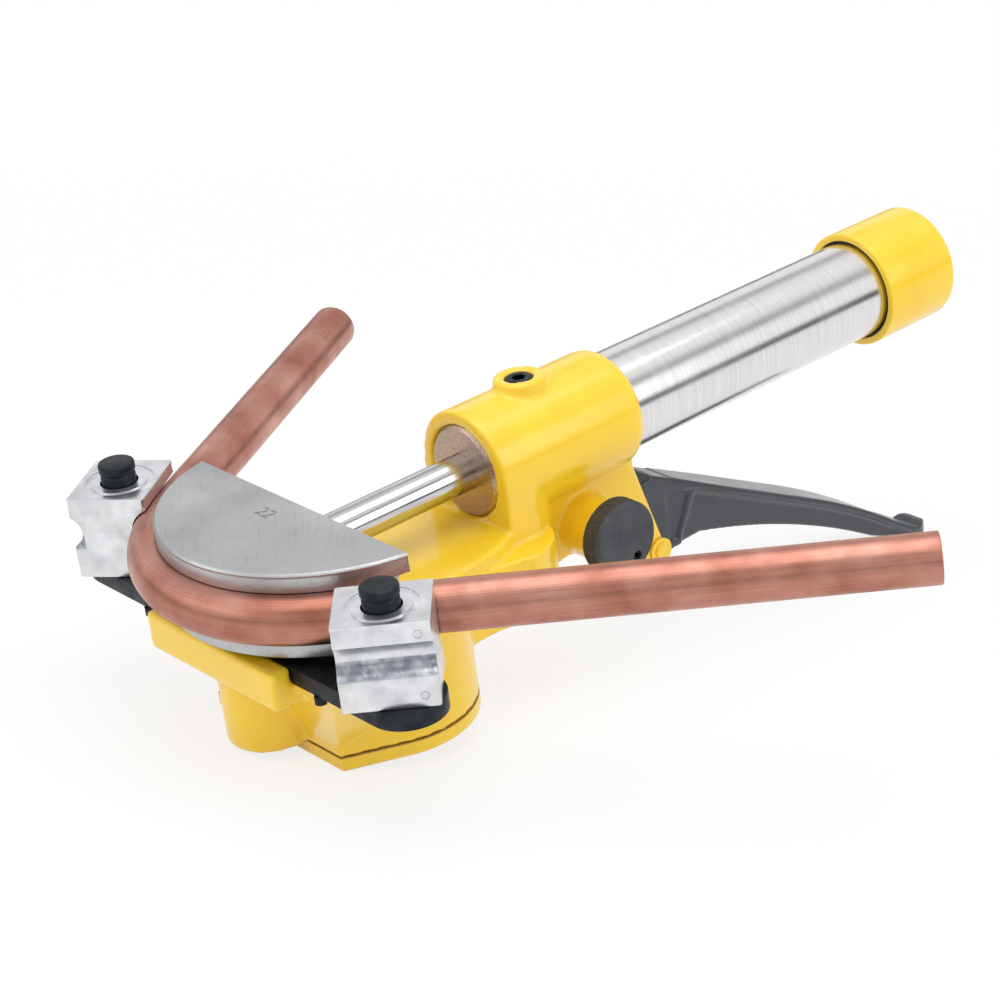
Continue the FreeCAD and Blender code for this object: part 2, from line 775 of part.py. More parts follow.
screw_set("cover_screw", "cover_screws",
          [(x, y, "base_bottom + cover_recess") for x, y in cover_spots],
          "2 * cover_screw_radius - seat_play", "cover_screw_head", "cover_screw_radius",
          "cover_screw_length", "cover_screw_key", True)


# Main casting: base drum, flared front with the bar's seat, arm, column, boss.
body = Piece("casting")
sketch = outline(body.sketch("XY_Plane", "base_seam"), drum_line)
body.pad(sketch, "drum_top - base_seam")
sketch = body.sketch("XY_Plane", "lip_bottom")
outline(sketch, [
    ("-lip_half", "lip_front"),
    ("lip_half", "lip_front"),
    ("lip_half", "drum_front + 15"),
    ("-lip_half", "drum_front + 15"),
])
body.pad(sketch, "bar_top - lip_bottom")
sketch = circle(body.sketch("XY_Plane", "foot_bottom"), "0", "foot_y", "foot_radius")
body.pad(sketch, "lip_bottom - foot_bottom + 2")
sketch = outline(body.sketch("XY_Plane", "base_seam"), drum_line)
body.pocket(sketch, "10")
wing_top = outline(body.sketch("XY_Plane", "bar_floor"), [
    ("-wing_half", "bar_front + 0.8"),
    ("wing_half", "bar_front + 0.8"),
    ("wing_half", "bar_back"),
    ("-wing_half", "bar_back"),
])
wing_low = outline(body.sketch("XY_Plane", "base_seam + 6"), [
    ("-drum_corner", "drum_front"),
    ("drum_corner", "drum_front"),
    ("drum_corner + 5", "bar_back"),
    ("-drum_corner - 5", "bar_back"),
])
wings = body.feature("AdditiveLoft", wing_low)
wings.Sections = [wing_top]
wings.Ruled = True
arm_line = mirrored([
    ("arm_half", "drum_centre"),
    ("arm_half", "15", "75"),
    ("column_half", "boss_front"),
    ("column_half", "boss_front + 18"),
])
sketch = outline(body.sketch("XY_Plane", "arm_bottom"), arm_line)
body.pad(sketch, "arm_top - arm_bottom")
shelf_line = mirrored([
    ("arm_half + 2", "drum_centre"),
    ("arm_half + 2", "10", "-60"),
    ("arm_half + 5", "boss_front", "30"),
    ("column_half", "boss_front + 24"),
])
sketch = outline(body.sketch("XY_Plane", "arm_bottom"), shelf_line)
body.pad(sketch, "arm_top - 7 - arm_bottom")
column_line = mirrored([
    ("column_half", "boss_front"),
    ("column_half", "boss_front + 12", "26"),
    ("web_half", "boss_front + 34"),
    ("web_half", "column_rear"),
])
sketch = outline(body.sketch("XY_Plane", "arm_bottom"), column_line)
body.pad(sketch, "-arm_bottom")
heel_line = mirrored([
    ("web_half", "boss_front + 34"),
    ("web_half", "column_rear"),
])
sketch = outline(body.sketch("XY_Plane", "column_bottom"), heel_line)
body.pad(sketch, "arm_bottom - column_bottom + 5")
sketch = circle(body.sketch("XY_Plane", "0"), "0", "fill_y", "fill_boss_radius")
body.pad(sketch, "fill_top")
level = number("fill_top")
body.dress("Fillet", lambda edge: edge.BoundBox.ZMin > level - 0.01, "1")
sketch = body.sketch("XY_Plane", "0")
outline(sketch, [
    ("0", "boss_front"),
    ("boss_radius - 1.2", "boss_front", "1.2"),
    ("boss_radius", "boss_front + 1.2"),
    ("boss_radius", "boss_rear - boss_round", "boss_round"),
    ("boss_radius - boss_round", "boss_rear"),
    ("0", "boss_rear"),
])
body.turned(sketch, "V_Axis")
sketch = body.sketch("XY_Plane", "valve_z", ("0", "valve_y"))
outline(sketch, [
    ("0", "0"),
    ("0", "valve_boss_radius"),
    ("valve_boss_out - 1", "valve_boss_radius", "-1"),
    ("valve_boss_out", "valve_boss_radius - 1"),
    ("valve_boss_out", "0"),
])
body.turned(sketch, "H_Axis")
# Rear edge of the column leans back, and the underside rises in an arch behind the drum.
sketch = body.sketch("YZ_Plane", "0")
outline(sketch, [
    ("boss_rear", "-boss_radius + 1.6"),
    ("column_rear - 1", "column_bottom"),
    ("column_rear - 1", "column_bottom - 20"),
    ("column_rear + 60", "column_bottom - 20"),
    ("column_rear + 60", "boss_radius"),
    ("boss_rear", "boss_radius"),
])
body.pocket(sketch, "4 * column_half", midplane=True)
sketch = body.sketch("YZ_Plane", "0")
outline(sketch, [
    ("boss_front + 30", "column_bottom - 10"),
    ("pivot_y - 10", "column_bottom - 10"),
    ("pivot_y - 10", "column_bottom + 4", "45"),
    ("boss_front + 30", "arm_bottom"),
])
body.pocket(sketch, "4 * column_half", midplane=True)

# Bar seat, main bore, lever slot, pivot hole, pump bore, valve bore, filling hole, cavity.
sketch = body.sketch("XY_Plane", "bar_floor")
outline(sketch, [
    ("-2 * wing_half", "slot_y_front"),
    ("2 * wing_half", "slot_y_front"),
    ("2 * wing_half", "slot_y_back"),
    ("-2 * wing_half", "slot_y_back"),
])
body.pocket(sketch, "2 * bar_thick", reverse=True)
sketch = body.sketch("XY_Plane", "0")
outline(sketch, [
    ("0", "boss_front - 5"),
    ("gland_radius + shaft_play", "boss_front - 5"),
    ("gland_radius + shaft_play", "gland_rear"),
    ("cylinder_radius + shaft_play", "gland_rear"),
    ("cylinder_radius + shaft_play", "tube_front"),
    ("tube_outer_radius + shaft_play", "tube_front"),
    ("tube_outer_radius + shaft_play", "boss_rear + 5"),
    ("0", "boss_rear + 5"),
])
body.turned(sketch, "V_Axis", cut=True)
sketch = body.sketch("YZ_Plane", "0")
outline(sketch, [
    ("slot_front", "column_bottom - 5"),
    ("column_rear + 5", "column_bottom - 5"),
    ("column_rear + 5", "-boss_radius - 2"),
    ("slot_front", "-boss_radius - 2"),
])
body.pocket(sketch, "2 * slot_half", midplane=True)
sketch = circle(body.sketch("YZ_Plane", "0"), "pivot_y", "pivot_z", "pivot_radius + seat_play")
body.pocket(sketch, "4 * web_half", midplane=True)
sketch = body.sketch("XY_Plane", "pump_z")
outline(sketch, [
    ("0", "slot_front - 38"),
    ("plunger_radius + shaft_play", "slot_front - 38"),
    ("plunger_radius + shaft_play", "spring_seat"),
    ("plunger_radius + 3.2", "spring_seat"),
    ("plunger_radius + 3.2", "slot_front + 2"),
    ("0", "slot_front + 2"),
])
body.turned(sketch, "V_Axis", cut=True)
sketch = body.sketch("XY_Plane", "valve_z", ("0", "valve_y"))
outline(sketch, [
    ("valve_inner", "0"),
    ("valve_inner", "spindle_radius + shaft_play"),
    ("valve_boss_out - 8", "spindle_radius + shaft_play"),
    ("valve_boss_out - 8", "spindle_radius + 2.6"),
    ("valve_boss_out - 4", "spindle_radius + 2.6"),
    ("valve_boss_out - 4", "spindle_radius + shaft_play"),
    ("valve_boss_out + 2", "spindle_radius + shaft_play"),
    ("valve_boss_out + 2", "0"),
])
body.turned(sketch, "H_Axis", cut=True)
sketch = circle(body.sketch("XY_Plane", "fill_top"), "0", "fill_y", "fill_hole")
body.pocket(sketch, "fill_top - cylinder_radius + 4")
sketch = circle(body.sketch("XY_Plane", "base_seam"), "0", "drum_centre", "cavity_radius")
body.pocket(sketch, "cavity_roof - base_seam", reverse=True)
sketch = body.sketch("XY_Plane", "base_seam")
for x, y in cover_spots:
    circle(sketch, x, y, "cover_screw_radius + seat_play")
body.pocket(sketch, "cover_screw_length + cover_recess + base_bottom - base_seam + screw_room", reverse=True)
sketch = body.sketch("XY_Plane", "bar_floor")
for side in ("", "-"):
    circle(sketch, side + "bar_screw_x", "bar_screw_y", "bar_screw_radius + seat_play")
body.pocket(sketch, "bar_screw_grip + 1")
sketch = body.sketch("XY_Plane", "bar_floor")
for side in ("", "-"):
    circle(sketch, side + "lock_x", "lock_y", "lock_radius")
body.pocket(sketch, "lock_deep")
sketch = body.sketch("YZ_Plane", "-column_half")
circle(sketch, "check_y", "pump_z", "check_radius")
body.pocket(sketch, "column_half - web_half + check_depth", reverse=True)
body.done("body_casting")


# Release valve: spindle with its ball seat, seal and knurled knob with a set screw.
valve_at = ("0", "valve_y", "valve_z")
turned_piece("spindle", "release_spindle", [
    ("valve_inner + 5.2", "0"),
    ("valve_inner + 5.2", "1.5"),
    ("valve_inner + 7", "spindle_radius"),
    ("knob_out - 3", "spindle_radius"),
    ("knob_out - 3", "0"),
], "X", valve_at)
turned_piece("spindle_ring", "spindle_seal", [
    ("valve_boss_out - 8", "spindle_radius + 0.2"),
    ("valve_boss_out - 8", "spindle_radius + 2.6"),
    ("valve_boss_out - 4", "spindle_radius + 2.6"),
    ("valve_boss_out - 4", "spindle_radius + 0.2"),
    ("valve_boss_out - 6", "spindle_radius + shaft_play"),
], "X", valve_at)
knob = turned_piece("knob", None, [
    ("knob_in", "spindle_radius"),
    ("knob_in", "knob_radius - 1"),
    ("knob_in + 1", "knob_radius"),
    ("knob_out - 1.6", "knob_radius"),
    ("knob_out", "knob_radius - 2"),
    ("knob_out", "0"),
    ("knob_out - 3", "0"),
    ("knob_out - 3", "spindle_radius"),
], "X", valve_at)
sketch = circle(knob.sketch("YZ_Plane", "knob_out"), "knob_screw_y", "knob_screw_z", "knob_screw_radius")
knob.pocket(sketch, "knob_screw_deep")
knob.done("release_knob")


# Filling plug with a hexagon socket.
plug = turned_piece("plug", None, [
    ("cylinder_radius + 3", "0"),
    ("cylinder_radius + 3", "fill_hole - 1.5"),
    ("cylinder_radius + 4.4", "fill_hole - shaft_play"),
    ("fill_top - 1.4", "fill_hole - shaft_play"),
    ("fill_top - 0.8", "fill_hole - 0.8"),
    ("fill_top - 0.8", "0"),
], "Z", ("0", "fill_y", "0"))
sketch = plug.sketch("XY_Plane", "fill_top - 0.8", ("0", "fill_y"))
key = "0.52 * fill_hole"
outline(sketch, [("%s * cos(%d)" % (key, angle), "%s * sin(%d)" % (key, angle))
                 for angle in range(0, 360, 60)])
plug.pocket(sketch, "4.5")
plug.done("fill_plug")


# Pump lever: one forging with an eye on the pivot, a nose that pushes the plunger and a
# tapering I-section grip whose tip stands on the floor.
lever = Piece("lever")
nose_y = "pivot_y - 4"
sketch = outline(lever.sketch("YZ_Plane", "0"), [
    ("pivot_y", "pivot_z - eye_radius"),
    ("pivot_y + 11", "pivot_z - 5.6"),
    ("pivot_y + 31", "pivot_z - 5", "-430"),
    ("pivot_y + 147", "pivot_z - 55.8"),
    ("lever_tip - 26", "lever_stand + 5.5", "80"),
    ("lever_tip - 3", "lever_stand", "4"),
    ("lever_tip + 2", "lever_stand + 3.5", "14"),
    ("pivot_y + 181", "pivot_z - 64.5"),
    ("pivot_y + 162", "pivot_z - 52.5", "430"),
    ("pivot_y + 100", "pivot_z - 13.5"),
    ("pivot_y + 4", "pump_z + 8"),
    (nose_y, "pump_z + nose_radius", "nose_radius"),
    (nose_y + " - nose_radius", "pump_z", "nose_radius"),
    (nose_y, "pump_z - nose_radius"),
    ("pivot_y - eye_radius", "pivot_z", "eye_radius"),
])
lever.pad(sketch, "2 * lever_half", midplane=True)
sketch = outline(lever.sketch("YZ_Plane", "0"), [
    ("pivot_y + 16", "pivot_z + 30.2 - flange_thick"),
    ("pivot_y + 100", "pivot_z - 13.5 - flange_thick", "-430"),
    ("pivot_y + 162", "pivot_z - 52.5 - flange_thick"),
    ("pivot_y + 176", "pivot_z - 61.3 - flange_thick"),
    ("pivot_y + 176", "pivot_z - 61.3"),
    ("pivot_y + 162", "pivot_z - 52.5", "430"),
    ("pivot_y + 100", "pivot_z - 13.5"),
    ("pivot_y + 16", "pivot_z + 30.2"),
])
lever.pad(sketch, "2 * grip_half", midplane=True)
for side in ("", "-"):
    bend = "-" if side else ""
    sketch = outline(lever.sketch("XY_Plane", "pivot_z"), [
        (side + "lever_half", "pivot_y + 14", bend + "420"),
        (side + "grip_half", "pivot_y + 85", bend + "420"),
        (side + "lever_half", "pivot_y + 178"),
        (side + "2 * grip_half", "pivot_y + 178"),
        (side + "2 * grip_half", "pivot_y + 14"),
    ])
    lever.pocket(sketch, "8 * lever_half", midplane=True)
panel_front = [
    ("pivot_y + 11", "pivot_z - 2"),
    ("pivot_y + 15.5", "pivot_z - 2"),
    ("pivot_y + 25.5", "pivot_z + 19"),
    ("pivot_y + 11", "pivot_z + 26.5"),
]
panel_rear = [
    ("pivot_y + 18", "pivot_z - 2"),
    ("pivot_y + 18", "pivot_z - 30"),
    ("pivot_y + 140", "pivot_z - 80"),
    ("pivot_y + 166", "pivot_z - 64"),
    ("pivot_y + 162", "pivot_z - 57.5", "430"),
    ("pivot_y + 100", "pivot_z - 19"),
    ("pivot_y + 29", "pivot_z + 17.5"),
]
for panel in (panel_front, panel_rear):
    sketch = outline(lever.sketch("YZ_Plane", "lever_web"), panel)
    lever.pocket(sketch, "lever_half", reverse=True)
    sketch = outline(lever.sketch("YZ_Plane", "-lever_web"), panel)
    lever.pocket(sketch, "lever_half")
sketch = circle(lever.sketch("YZ_Plane", "0"), "pivot_y", "pivot_z", "pivot_radius + shaft_play")
lever.pocket(sketch, "4 * lever_half", midplane=True)
lever.done("pump_lever")


# Pivot pin through both cheeks, with a clip at each end.
pivot_at = ("0", "pivot_y", "pivot_z")
turned_piece("pivot", "lever_pin", [
    ("-web_half - 2.4", "0"),
    ("-web_half - 2.4", "pivot_radius - 0.6"),
    ("-web_half - 1.8", "pivot_radius"),
    ("web_half + 1.8", "pivot_radius"),
    ("web_half + 2.4", "pivot_radius - 0.6"),
    ("web_half + 2.4", "0"),
], "X", pivot_at)
clips = []
for index, start in enumerate(("web_half + 0.2", "-web_half - 1.2")):
    place = spot(start, "pivot_y", "pivot_z", "vector(0; 1; 0)", "90")
    ring = primitive("Cylinder", "clip_ring%d" % index, place, Radius="pivot_radius + 2.2", Height="1")
    hole = primitive("Cylinder", "clip_hole%d" % index, place, Radius="pivot_radius", Height="1")
    clips.append(cut("clip_cut%d" % index, ring, hole))
group = doc.addObject("Part::Compound", "clip_pair")
group.Links = clips
seat(group, "pivot_clips")


# Pump plunger with its return spring.
turned_piece("plunger", "pump_plunger", [
    ("slot_front - 26", "0"),
    ("slot_front - 26", "plunger_radius - 1"),
    ("slot_front - 25", "plunger_radius"),
    ("plunger_rear - collar_thick", "plunger_radius"),
    ("plunger_rear - collar_thick", "plunger_radius + 2"),
    ("plunger_rear", "plunger_radius + 2"),
    ("plunger_rear", "0"),
], "Y", ("0", "0", "pump_z"))
coil_piece("pump_spring", "plunger_spring", "V_Axis", ("0", "0", "pump_z"), "plunger_radius + 0.5",
           "pump_wire", "spring_seat + body_gap", "plunger_rear - collar_thick - pump_stroke - spring_seat - 2 * body_gap", "3")


# Delivery check valve in the left side of the column: ball, spring and plug.
check_at = ("0", "check_y", "pump_z")
check_end = "-web_half + check_depth"
seat(primitive("Sphere", "check_sphere", Radius="3"), "check_ball",
     spot(check_end + " - 3.2", "check_y", "pump_z"))
coil_piece("check_coil", "check_spring", "H_Axis", check_at, "2.2", "check_wire", "-web_half + check_cap + 0.2",
           "check_depth - check_cap - 6.6", "2")
plug_in = turned_piece("check_cap", None, [
    ("-web_half + 0.6", "0"),
    ("-web_half + 0.6", "check_radius - 1"),
    ("-web_half + 1.4", "check_radius - shaft_play"),
    ("-web_half + check_cap", "check_radius - shaft_play"),
    ("-web_half + check_cap", "0"),
], "X", check_at)
sketch = plug_in.sketch("YZ_Plane", "-web_half + 0.6", ("check_y", "pump_z"))
key = "0.5 * check_radius"
outline(sketch, [("%s * cos(%d)" % (key, angle), "%s * sin(%d)" % (key, angle))
                 for angle in range(0, 360, 60)])
plug_in.pocket(sketch, "0.6 * check_cap", reverse=True)
plug_in.done("check_plug")


# Small pieces: ball of the release valve, set screw of the knob, cap seal, bar set screws,
# and the ball catch that holds the former on the rod.
seat(primitive("Sphere", "release_sphere", Radius="2.5"), "release_ball",
     spot("valve_inner + 2.6", "valve_y", "valve_z"))
set_screw = turned_piece("knob_stud", None, [
    ("knob_out - knob_screw_deep", "0"),
    ("knob_out - knob_screw_deep", "knob_screw_radius - shaft_play"),
    ("knob_out - 1.2", "knob_screw_radius - shaft_play"),
    ("knob_out - 1.2", "0"),
], "X", ("0", "knob_screw_y", "knob_screw_z"))
sketch = set_screw.sketch("YZ_Plane", "knob_out - 1.2", ("knob_screw_y", "knob_screw_z"))
key = "0.55 * knob_screw_radius"
outline(sketch, [("%s * cos(%d)" % (key, angle), "%s * sin(%d)" % (key, angle))
                 for angle in range(0, 360, 60)])
set_screw.pocket(sketch, "1.6")
set_screw.done("knob_screw")
turned_piece("cap_ring", "cap_seal", [
    ("cap_front + 1.8", "tube_outer_radius"),
    ("cap_front + 1.8", "tube_outer_radius + cap_lip_gap"),
    ("cap_front + cap_lip_depth", "tube_outer_radius + cap_lip_gap"),
    ("cap_front + cap_lip_depth", "tube_outer_radius"),
])
studs = []
for index, side in enumerate(("", "-")):
    place = spot(side + "lock_x", "lock_y", "bar_floor - lock_deep")
    stud = primitive("Cylinder", "lock_stud%d" % index, place, Radius="lock_radius - 0.3",
                     Height="lock_deep - body_gap")
    socket = primitive("Prism", "lock_key%d" % index, place + " * " + spot("0", "0", "0.5 * lock_deep"),
                       Circumradius="0.5 * lock_radius", Height="lock_deep")
    socket.Polygon = 6
    studs.append(cut("lock_cut%d" % index, stud, socket))
group = doc.addObject("Part::Compound", "lock_pair")
group.Links = studs
seat(group, "lock_screws")
seat(primitive("Sphere", "catch_sphere", Radius="2.5"), "catch_ball",
     spot("0", "catch_y", "-(rod_radius + 1.15)"))
coil_piece("catch_coil", "catch_spring", "Z", ("0", "catch_y", "0"), "1.4", "0.8",
           "-former_half + 3.2", "former_half - rod_radius - 6.9", "2")
turned_piece("catch_stop", "catch_plug", [
    ("-former_half + 0.4", "0"),
    ("-former_half + 0.4", "catch_radius - shaft_play"),
    ("-former_half + 3", "catch_radius - shaft_play"),
    ("-former_half + 3", "0"),
], "Z", ("0", "catch_y", "0"))


doc.recompute()
os.makedirs("parts", exist_ok=True)
faults = []
for item in doc.Objects:
    if "Invalid" in item.State or "Error" in item.State:
        faults.append("%s (%s) %s" % (item.Name, item.Label, item.State))
for item in subparts:
    if item.Shape.isNull() or not item.Shape.isValid():
        faults.append("shape of " + item.Label)
if faults:
    raise RuntimeError("\n".join(faults))
for item in subparts:
    item.Shape.exportStep("parts/%s.step" % item.Label)
    print(item.Label, len(item.Shape.Solids), round(item.Shape.Volume))
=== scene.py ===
import math

import bpy
from mathutils import Matrix, Vector


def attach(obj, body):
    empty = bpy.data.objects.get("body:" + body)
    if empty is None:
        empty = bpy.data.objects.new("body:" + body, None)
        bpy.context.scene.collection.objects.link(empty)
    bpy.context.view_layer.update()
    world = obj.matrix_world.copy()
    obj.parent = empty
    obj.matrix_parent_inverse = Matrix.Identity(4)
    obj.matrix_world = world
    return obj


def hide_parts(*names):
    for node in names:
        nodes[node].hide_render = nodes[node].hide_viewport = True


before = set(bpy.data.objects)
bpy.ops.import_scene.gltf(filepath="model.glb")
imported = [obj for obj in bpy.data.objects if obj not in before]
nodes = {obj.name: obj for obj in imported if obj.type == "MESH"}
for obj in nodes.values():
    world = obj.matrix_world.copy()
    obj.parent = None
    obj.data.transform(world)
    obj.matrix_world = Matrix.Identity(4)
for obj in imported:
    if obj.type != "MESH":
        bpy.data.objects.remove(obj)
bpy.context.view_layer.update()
bpy.ops.object.select_all(action="DESELECT")

# The tool is drawn along its own ram axis and stands tipped, as the CAD does.
stand = dict(tilt=9.0, middle=-0.019, bottom=-0.082, floor=-0.0072)
toToolPlace = Matrix.Rotation(math.radians(stand["tilt"]), 4, "X") @ Matrix.Translation(
    (0, -stand["middle"], -stand["bottom"]))
print("frame loaded:", len(nodes), "nodes")


# Helpers for meshes.
def only(obj):
    bpy.ops.object.select_all(action="DESELECT")
    obj.select_set(True)
    bpy.context.view_layer.objects.active = obj
    return obj


def inEditMode(obj, steps):
    only(obj)
    bpy.ops.object.mode_set(mode="EDIT")
    steps()
    bpy.ops.object.mode_set(mode="OBJECT")


def settle(obj):
    only(obj)
    bpy.ops.object.transform_apply(location=True, rotation=True, scale=True)
    return obj


def intoRow(obj):
    obj.matrix_world = toToolPlace @ obj.matrix_world
    return settle(obj)


def modified(obj, kind, **values):
    modifier = obj.modifiers.new(kind.lower(), kind)
    for name, value in values.items():
        setattr(modifier, name, value)
    only(obj)
    bpy.ops.object.modifier_apply(modifier=modifier.name)
    return obj


def copyOf(nodeName, pieceName):
    # A welded copy of a CAD node, so that its edges can be worked.
    source = nodes[nodeName]
    piece = bpy.data.objects.new(pieceName, source.data.copy())
    bpy.context.scene.collection.objects.link(piece)
    inEditMode(piece, lambda: (
        bpy.ops.mesh.select_all(action="SELECT"),
        bpy.ops.mesh.remove_doubles(threshold=0.000002),
        bpy.ops.mesh.customdata_custom_splitnormals_clear()))
    return piece


def smoothByAngle(obj, degrees):
    only(obj)
    bpy.ops.object.shade_smooth_by_angle(angle=math.radians(degrees))
    return obj


def roundedCopy(nodeName, pieceName, width, segments=2, flat=2.0, sharp=28.0):
    # The CAD shape with its sharp edges broken by a small bevel.
    piece = copyOf(nodeName, pieceName)
    inEditMode(piece, lambda: (
        bpy.ops.mesh.select_all(action="SELECT"),
        bpy.ops.mesh.dissolve_limited(angle_limit=math.radians(flat))))
    modified(piece, "BEVEL", width=width, segments=segments, limit_method="ANGLE",
             angle_limit=math.radians(sharp), use_clamp_overlap=True, harden_normals=False)
    smoothByAngle(piece, 35)
    return piece


def castCopy(nodeName, pieceName, voxel, rounds, keep=1.0):
    # The CAD shape as a casting: one skin whose edges and corners run into each other.
    piece = copyOf(nodeName, pieceName)
    modified(piece, "REMESH", mode="VOXEL", voxel_size=voxel, use_smooth_shade=True)
    modified(piece, "SMOOTH", factor=0.5, iterations=rounds)
    if keep < 1.0:
        modified(piece, "DECIMATE", ratio=keep)
    only(piece)
    bpy.ops.object.shade_smooth()
    return piece


def finishPiece(obj, material, body, *replaced):
    obj.data.materials.clear()
    obj.data.materials.append(material)
    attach(obj, body)
    if replaced:
        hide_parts(*replaced)
    return obj


# Materials: small helpers, shared groups, then one function for each kind of finish.
def principledOf(material):
    return material.node_tree.nodes["Principled BSDF"]


def newMaterial(name, **values):
    material = bpy.data.materials.new(name)
    material.use_nodes = True
    shader = principledOf(material)
    for label, value in values.items():
        shader.inputs[label].default_value = value
    return material, material.node_tree, shader


def add(tree, kind, place=(0, 0), **values):
    node = tree.nodes.new(kind)
    node.location = place
    for name, value in values.items():
        setattr(node, name, value)
    return node


def rampOf(tree, stops, place=(0, 0)):
    ramp = add(tree, "ShaderNodeValToRGB", place)
    elements = ramp.color_ramp.elements
    while len(elements) < len(stops):
        elements.new(0.5)
    for element, (where, shade) in zip(elements, stops):
        element.position = where
        element.color = (*shade, 1)
    return ramp


def newGroup(name, inputs, outputs):
    group = bpy.data.node_groups.new(name, "ShaderNodeTree")
    for label, kind, value in inputs:
        socket = group.interface.new_socket(name=label, in_out="INPUT", socket_type=kind)
        socket.default_value = value
    for label, kind in outputs:
        group.interface.new_socket(name=label, in_out="OUTPUT", socket_type=kind)
    entry = group.nodes.new("NodeGroupInput")
    leave = group.nodes.new("NodeGroupOutput")
    entry.location = (-900, 0)
    leave.location = (900, 0)
    return group, entry, leave


def grainGroup():
    # Noise drawn out by a stretch: ground, drawn or turned metal.
    group, entry, leave = newGroup("groundStreaks", [
        ("Vector", "NodeSocketVector", (0, 0, 0)),
        ("Stretch", "NodeSocketVector", (1, 1, 1)),
        ("Fineness", "NodeSocketFloat", 900.0),
        ("Spread", "NodeSocketFloat", 60.0)],
        [("Streaks", "NodeSocketFloat"), ("Patches", "NodeSocketFloat")])
    drawn = add(group, "ShaderNodeVectorMath", (-500, 100), operation="MULTIPLY")
    fine = add(group, "ShaderNodeTexNoise", (-100, 100))
    wide = add(group, "ShaderNodeTexNoise", (-100, -200))
    fine.inputs["Detail"].default_value = 3.0
    wide.inputs["Detail"].default_value = 4.0
    link = group.links.new
    link(entry.outputs["Vector"], drawn.inputs[0])
    link(entry.outputs["Stretch"], drawn.inputs[1])
    link(drawn.outputs[0], fine.inputs["Vector"])
    link(entry.outputs["Fineness"], fine.inputs["Scale"])
    link(entry.outputs["Vector"], wide.inputs["Vector"])
    link(entry.outputs["Spread"], wide.inputs["Scale"])
    link(fine.outputs[0], leave.inputs["Streaks"])
    link(wide.outputs[0], leave.inputs["Patches"])
    return group


def castGroup():
    # The skin of a fine casting: soft lumps, grit and small pits.
    group, entry, leave = newGroup("castSkin", [
        ("Vector", "NodeSocketVector", (0, 0, 0)),
        ("Grit", "NodeSocketFloat", 700.0),
        ("Lumps", "NodeSocketFloat", 90.0)],
        [("Height", "NodeSocketFloat"), ("Shade", "NodeSocketFloat")])
    grit = add(group, "ShaderNodeTexNoise", (-500, 200))
    lumps = add(group, "ShaderNodeTexNoise", (-500, -100))
    grit.inputs["Detail"].default_value = 2.0
    lumps.inputs["Detail"].default_value = 5.0
    weigh = add(group, "ShaderNodeMath", (-200, 200), operation="MULTIPLY")
    weigh.inputs[1].default_value = 0.35
    total = add(group, "ShaderNodeMath", (0, 100), operation="ADD")
    link = group.links.new
    link(entry.outputs["Vector"], grit.inputs["Vector"])
    link(entry.outputs["Vector"], lumps.inputs["Vector"])
    link(entry.outputs["Grit"], grit.inputs["Scale"])
    link(entry.outputs["Lumps"], lumps.inputs["Scale"])
    link(grit.outputs[0], weigh.inputs[0])
    link(weigh.outputs[0], total.inputs[0])
    link(lumps.outputs[0], total.inputs[1])
    link(total.outputs[0], leave.inputs["Height"])
    link(lumps.outputs[0], leave.inputs["Shade"])
    return group


streaks = grainGroup()
castSkin = castGroup()


def objectVector(tree, turn=(0, 0, 0)):
    # Object coordinates, turned to the tool's own axes.
    coords = add(tree, "ShaderNodeTexCoord", (-1200, 0))
    mapping = add(tree, "ShaderNodeMapping", (-1000, 0))
    mapping.inputs["Rotation"].default_value = [math.radians(v) for v in turn]
    tree.links.new(coords.outputs["Object"], mapping.inputs["Vector"])
    return mapping.outputs["Vector"]


def useGroup(tree, group, vector, place=(-700, 0), **values):
    node = add(tree, "ShaderNodeGroup", place)
    node.node_tree = group
    tree.links.new(vector, node.inputs["Vector"])
    for label, value in values.items():
        node.inputs[label].default_value = value
    return node


def mixedColour(tree, first, second, factor, place, blend="MIX"):
    # Colours and the factor are sockets or plain values.
    mix = add(tree, "ShaderNodeMix", place, data_type="RGBA", blend_type=blend)
    for socket, value in ((mix.inputs["Factor"], factor), (mix.inputs[6], first), (mix.inputs[7], second)):
        if isinstance(value, bpy.types.NodeSocket):
            tree.links.new(value, socket)
        else:
            socket.default_value = value
    return mix.outputs[2]


def multiplied(tree, first, second, place):
    times = add(tree, "ShaderNodeMath", place, operation="MULTIPLY")
    tree.links.new(first, times.inputs[0])
    tree.links.new(second, times.inputs[1])
    return times.outputs[0]


def bumpFrom(tree, shader, height, strength, distance):
    bump = add(tree, "ShaderNodeBump", (-200, -300))
    bump.inputs["Strength"].default_value = strength
    bump.inputs["Distance"].default_value = distance
    tree.links.new(height, bump.inputs["Height"])
    tree.links.new(bump.outputs[0], shader.inputs["Normal"])
    return bump


def ranged(tree, value, low, high, fromLow=0.3, fromHigh=0.7, place=(-300, 0)):
    node = add(tree, "ShaderNodeMapRange", place)
    node.inputs["From Min"].default_value = fromLow
    node.inputs["From Max"].default_value = fromHigh
    node.inputs["To Min"].default_value = low
    node.inputs["To Max"].default_value = high
    tree.links.new(value, node.inputs["Value"])
    return node.outputs[0]


enamelSkin = dict(grit=420.0, coatRoughness=0.12, smoother=0.05, rougher=0.06, bump=0.35)


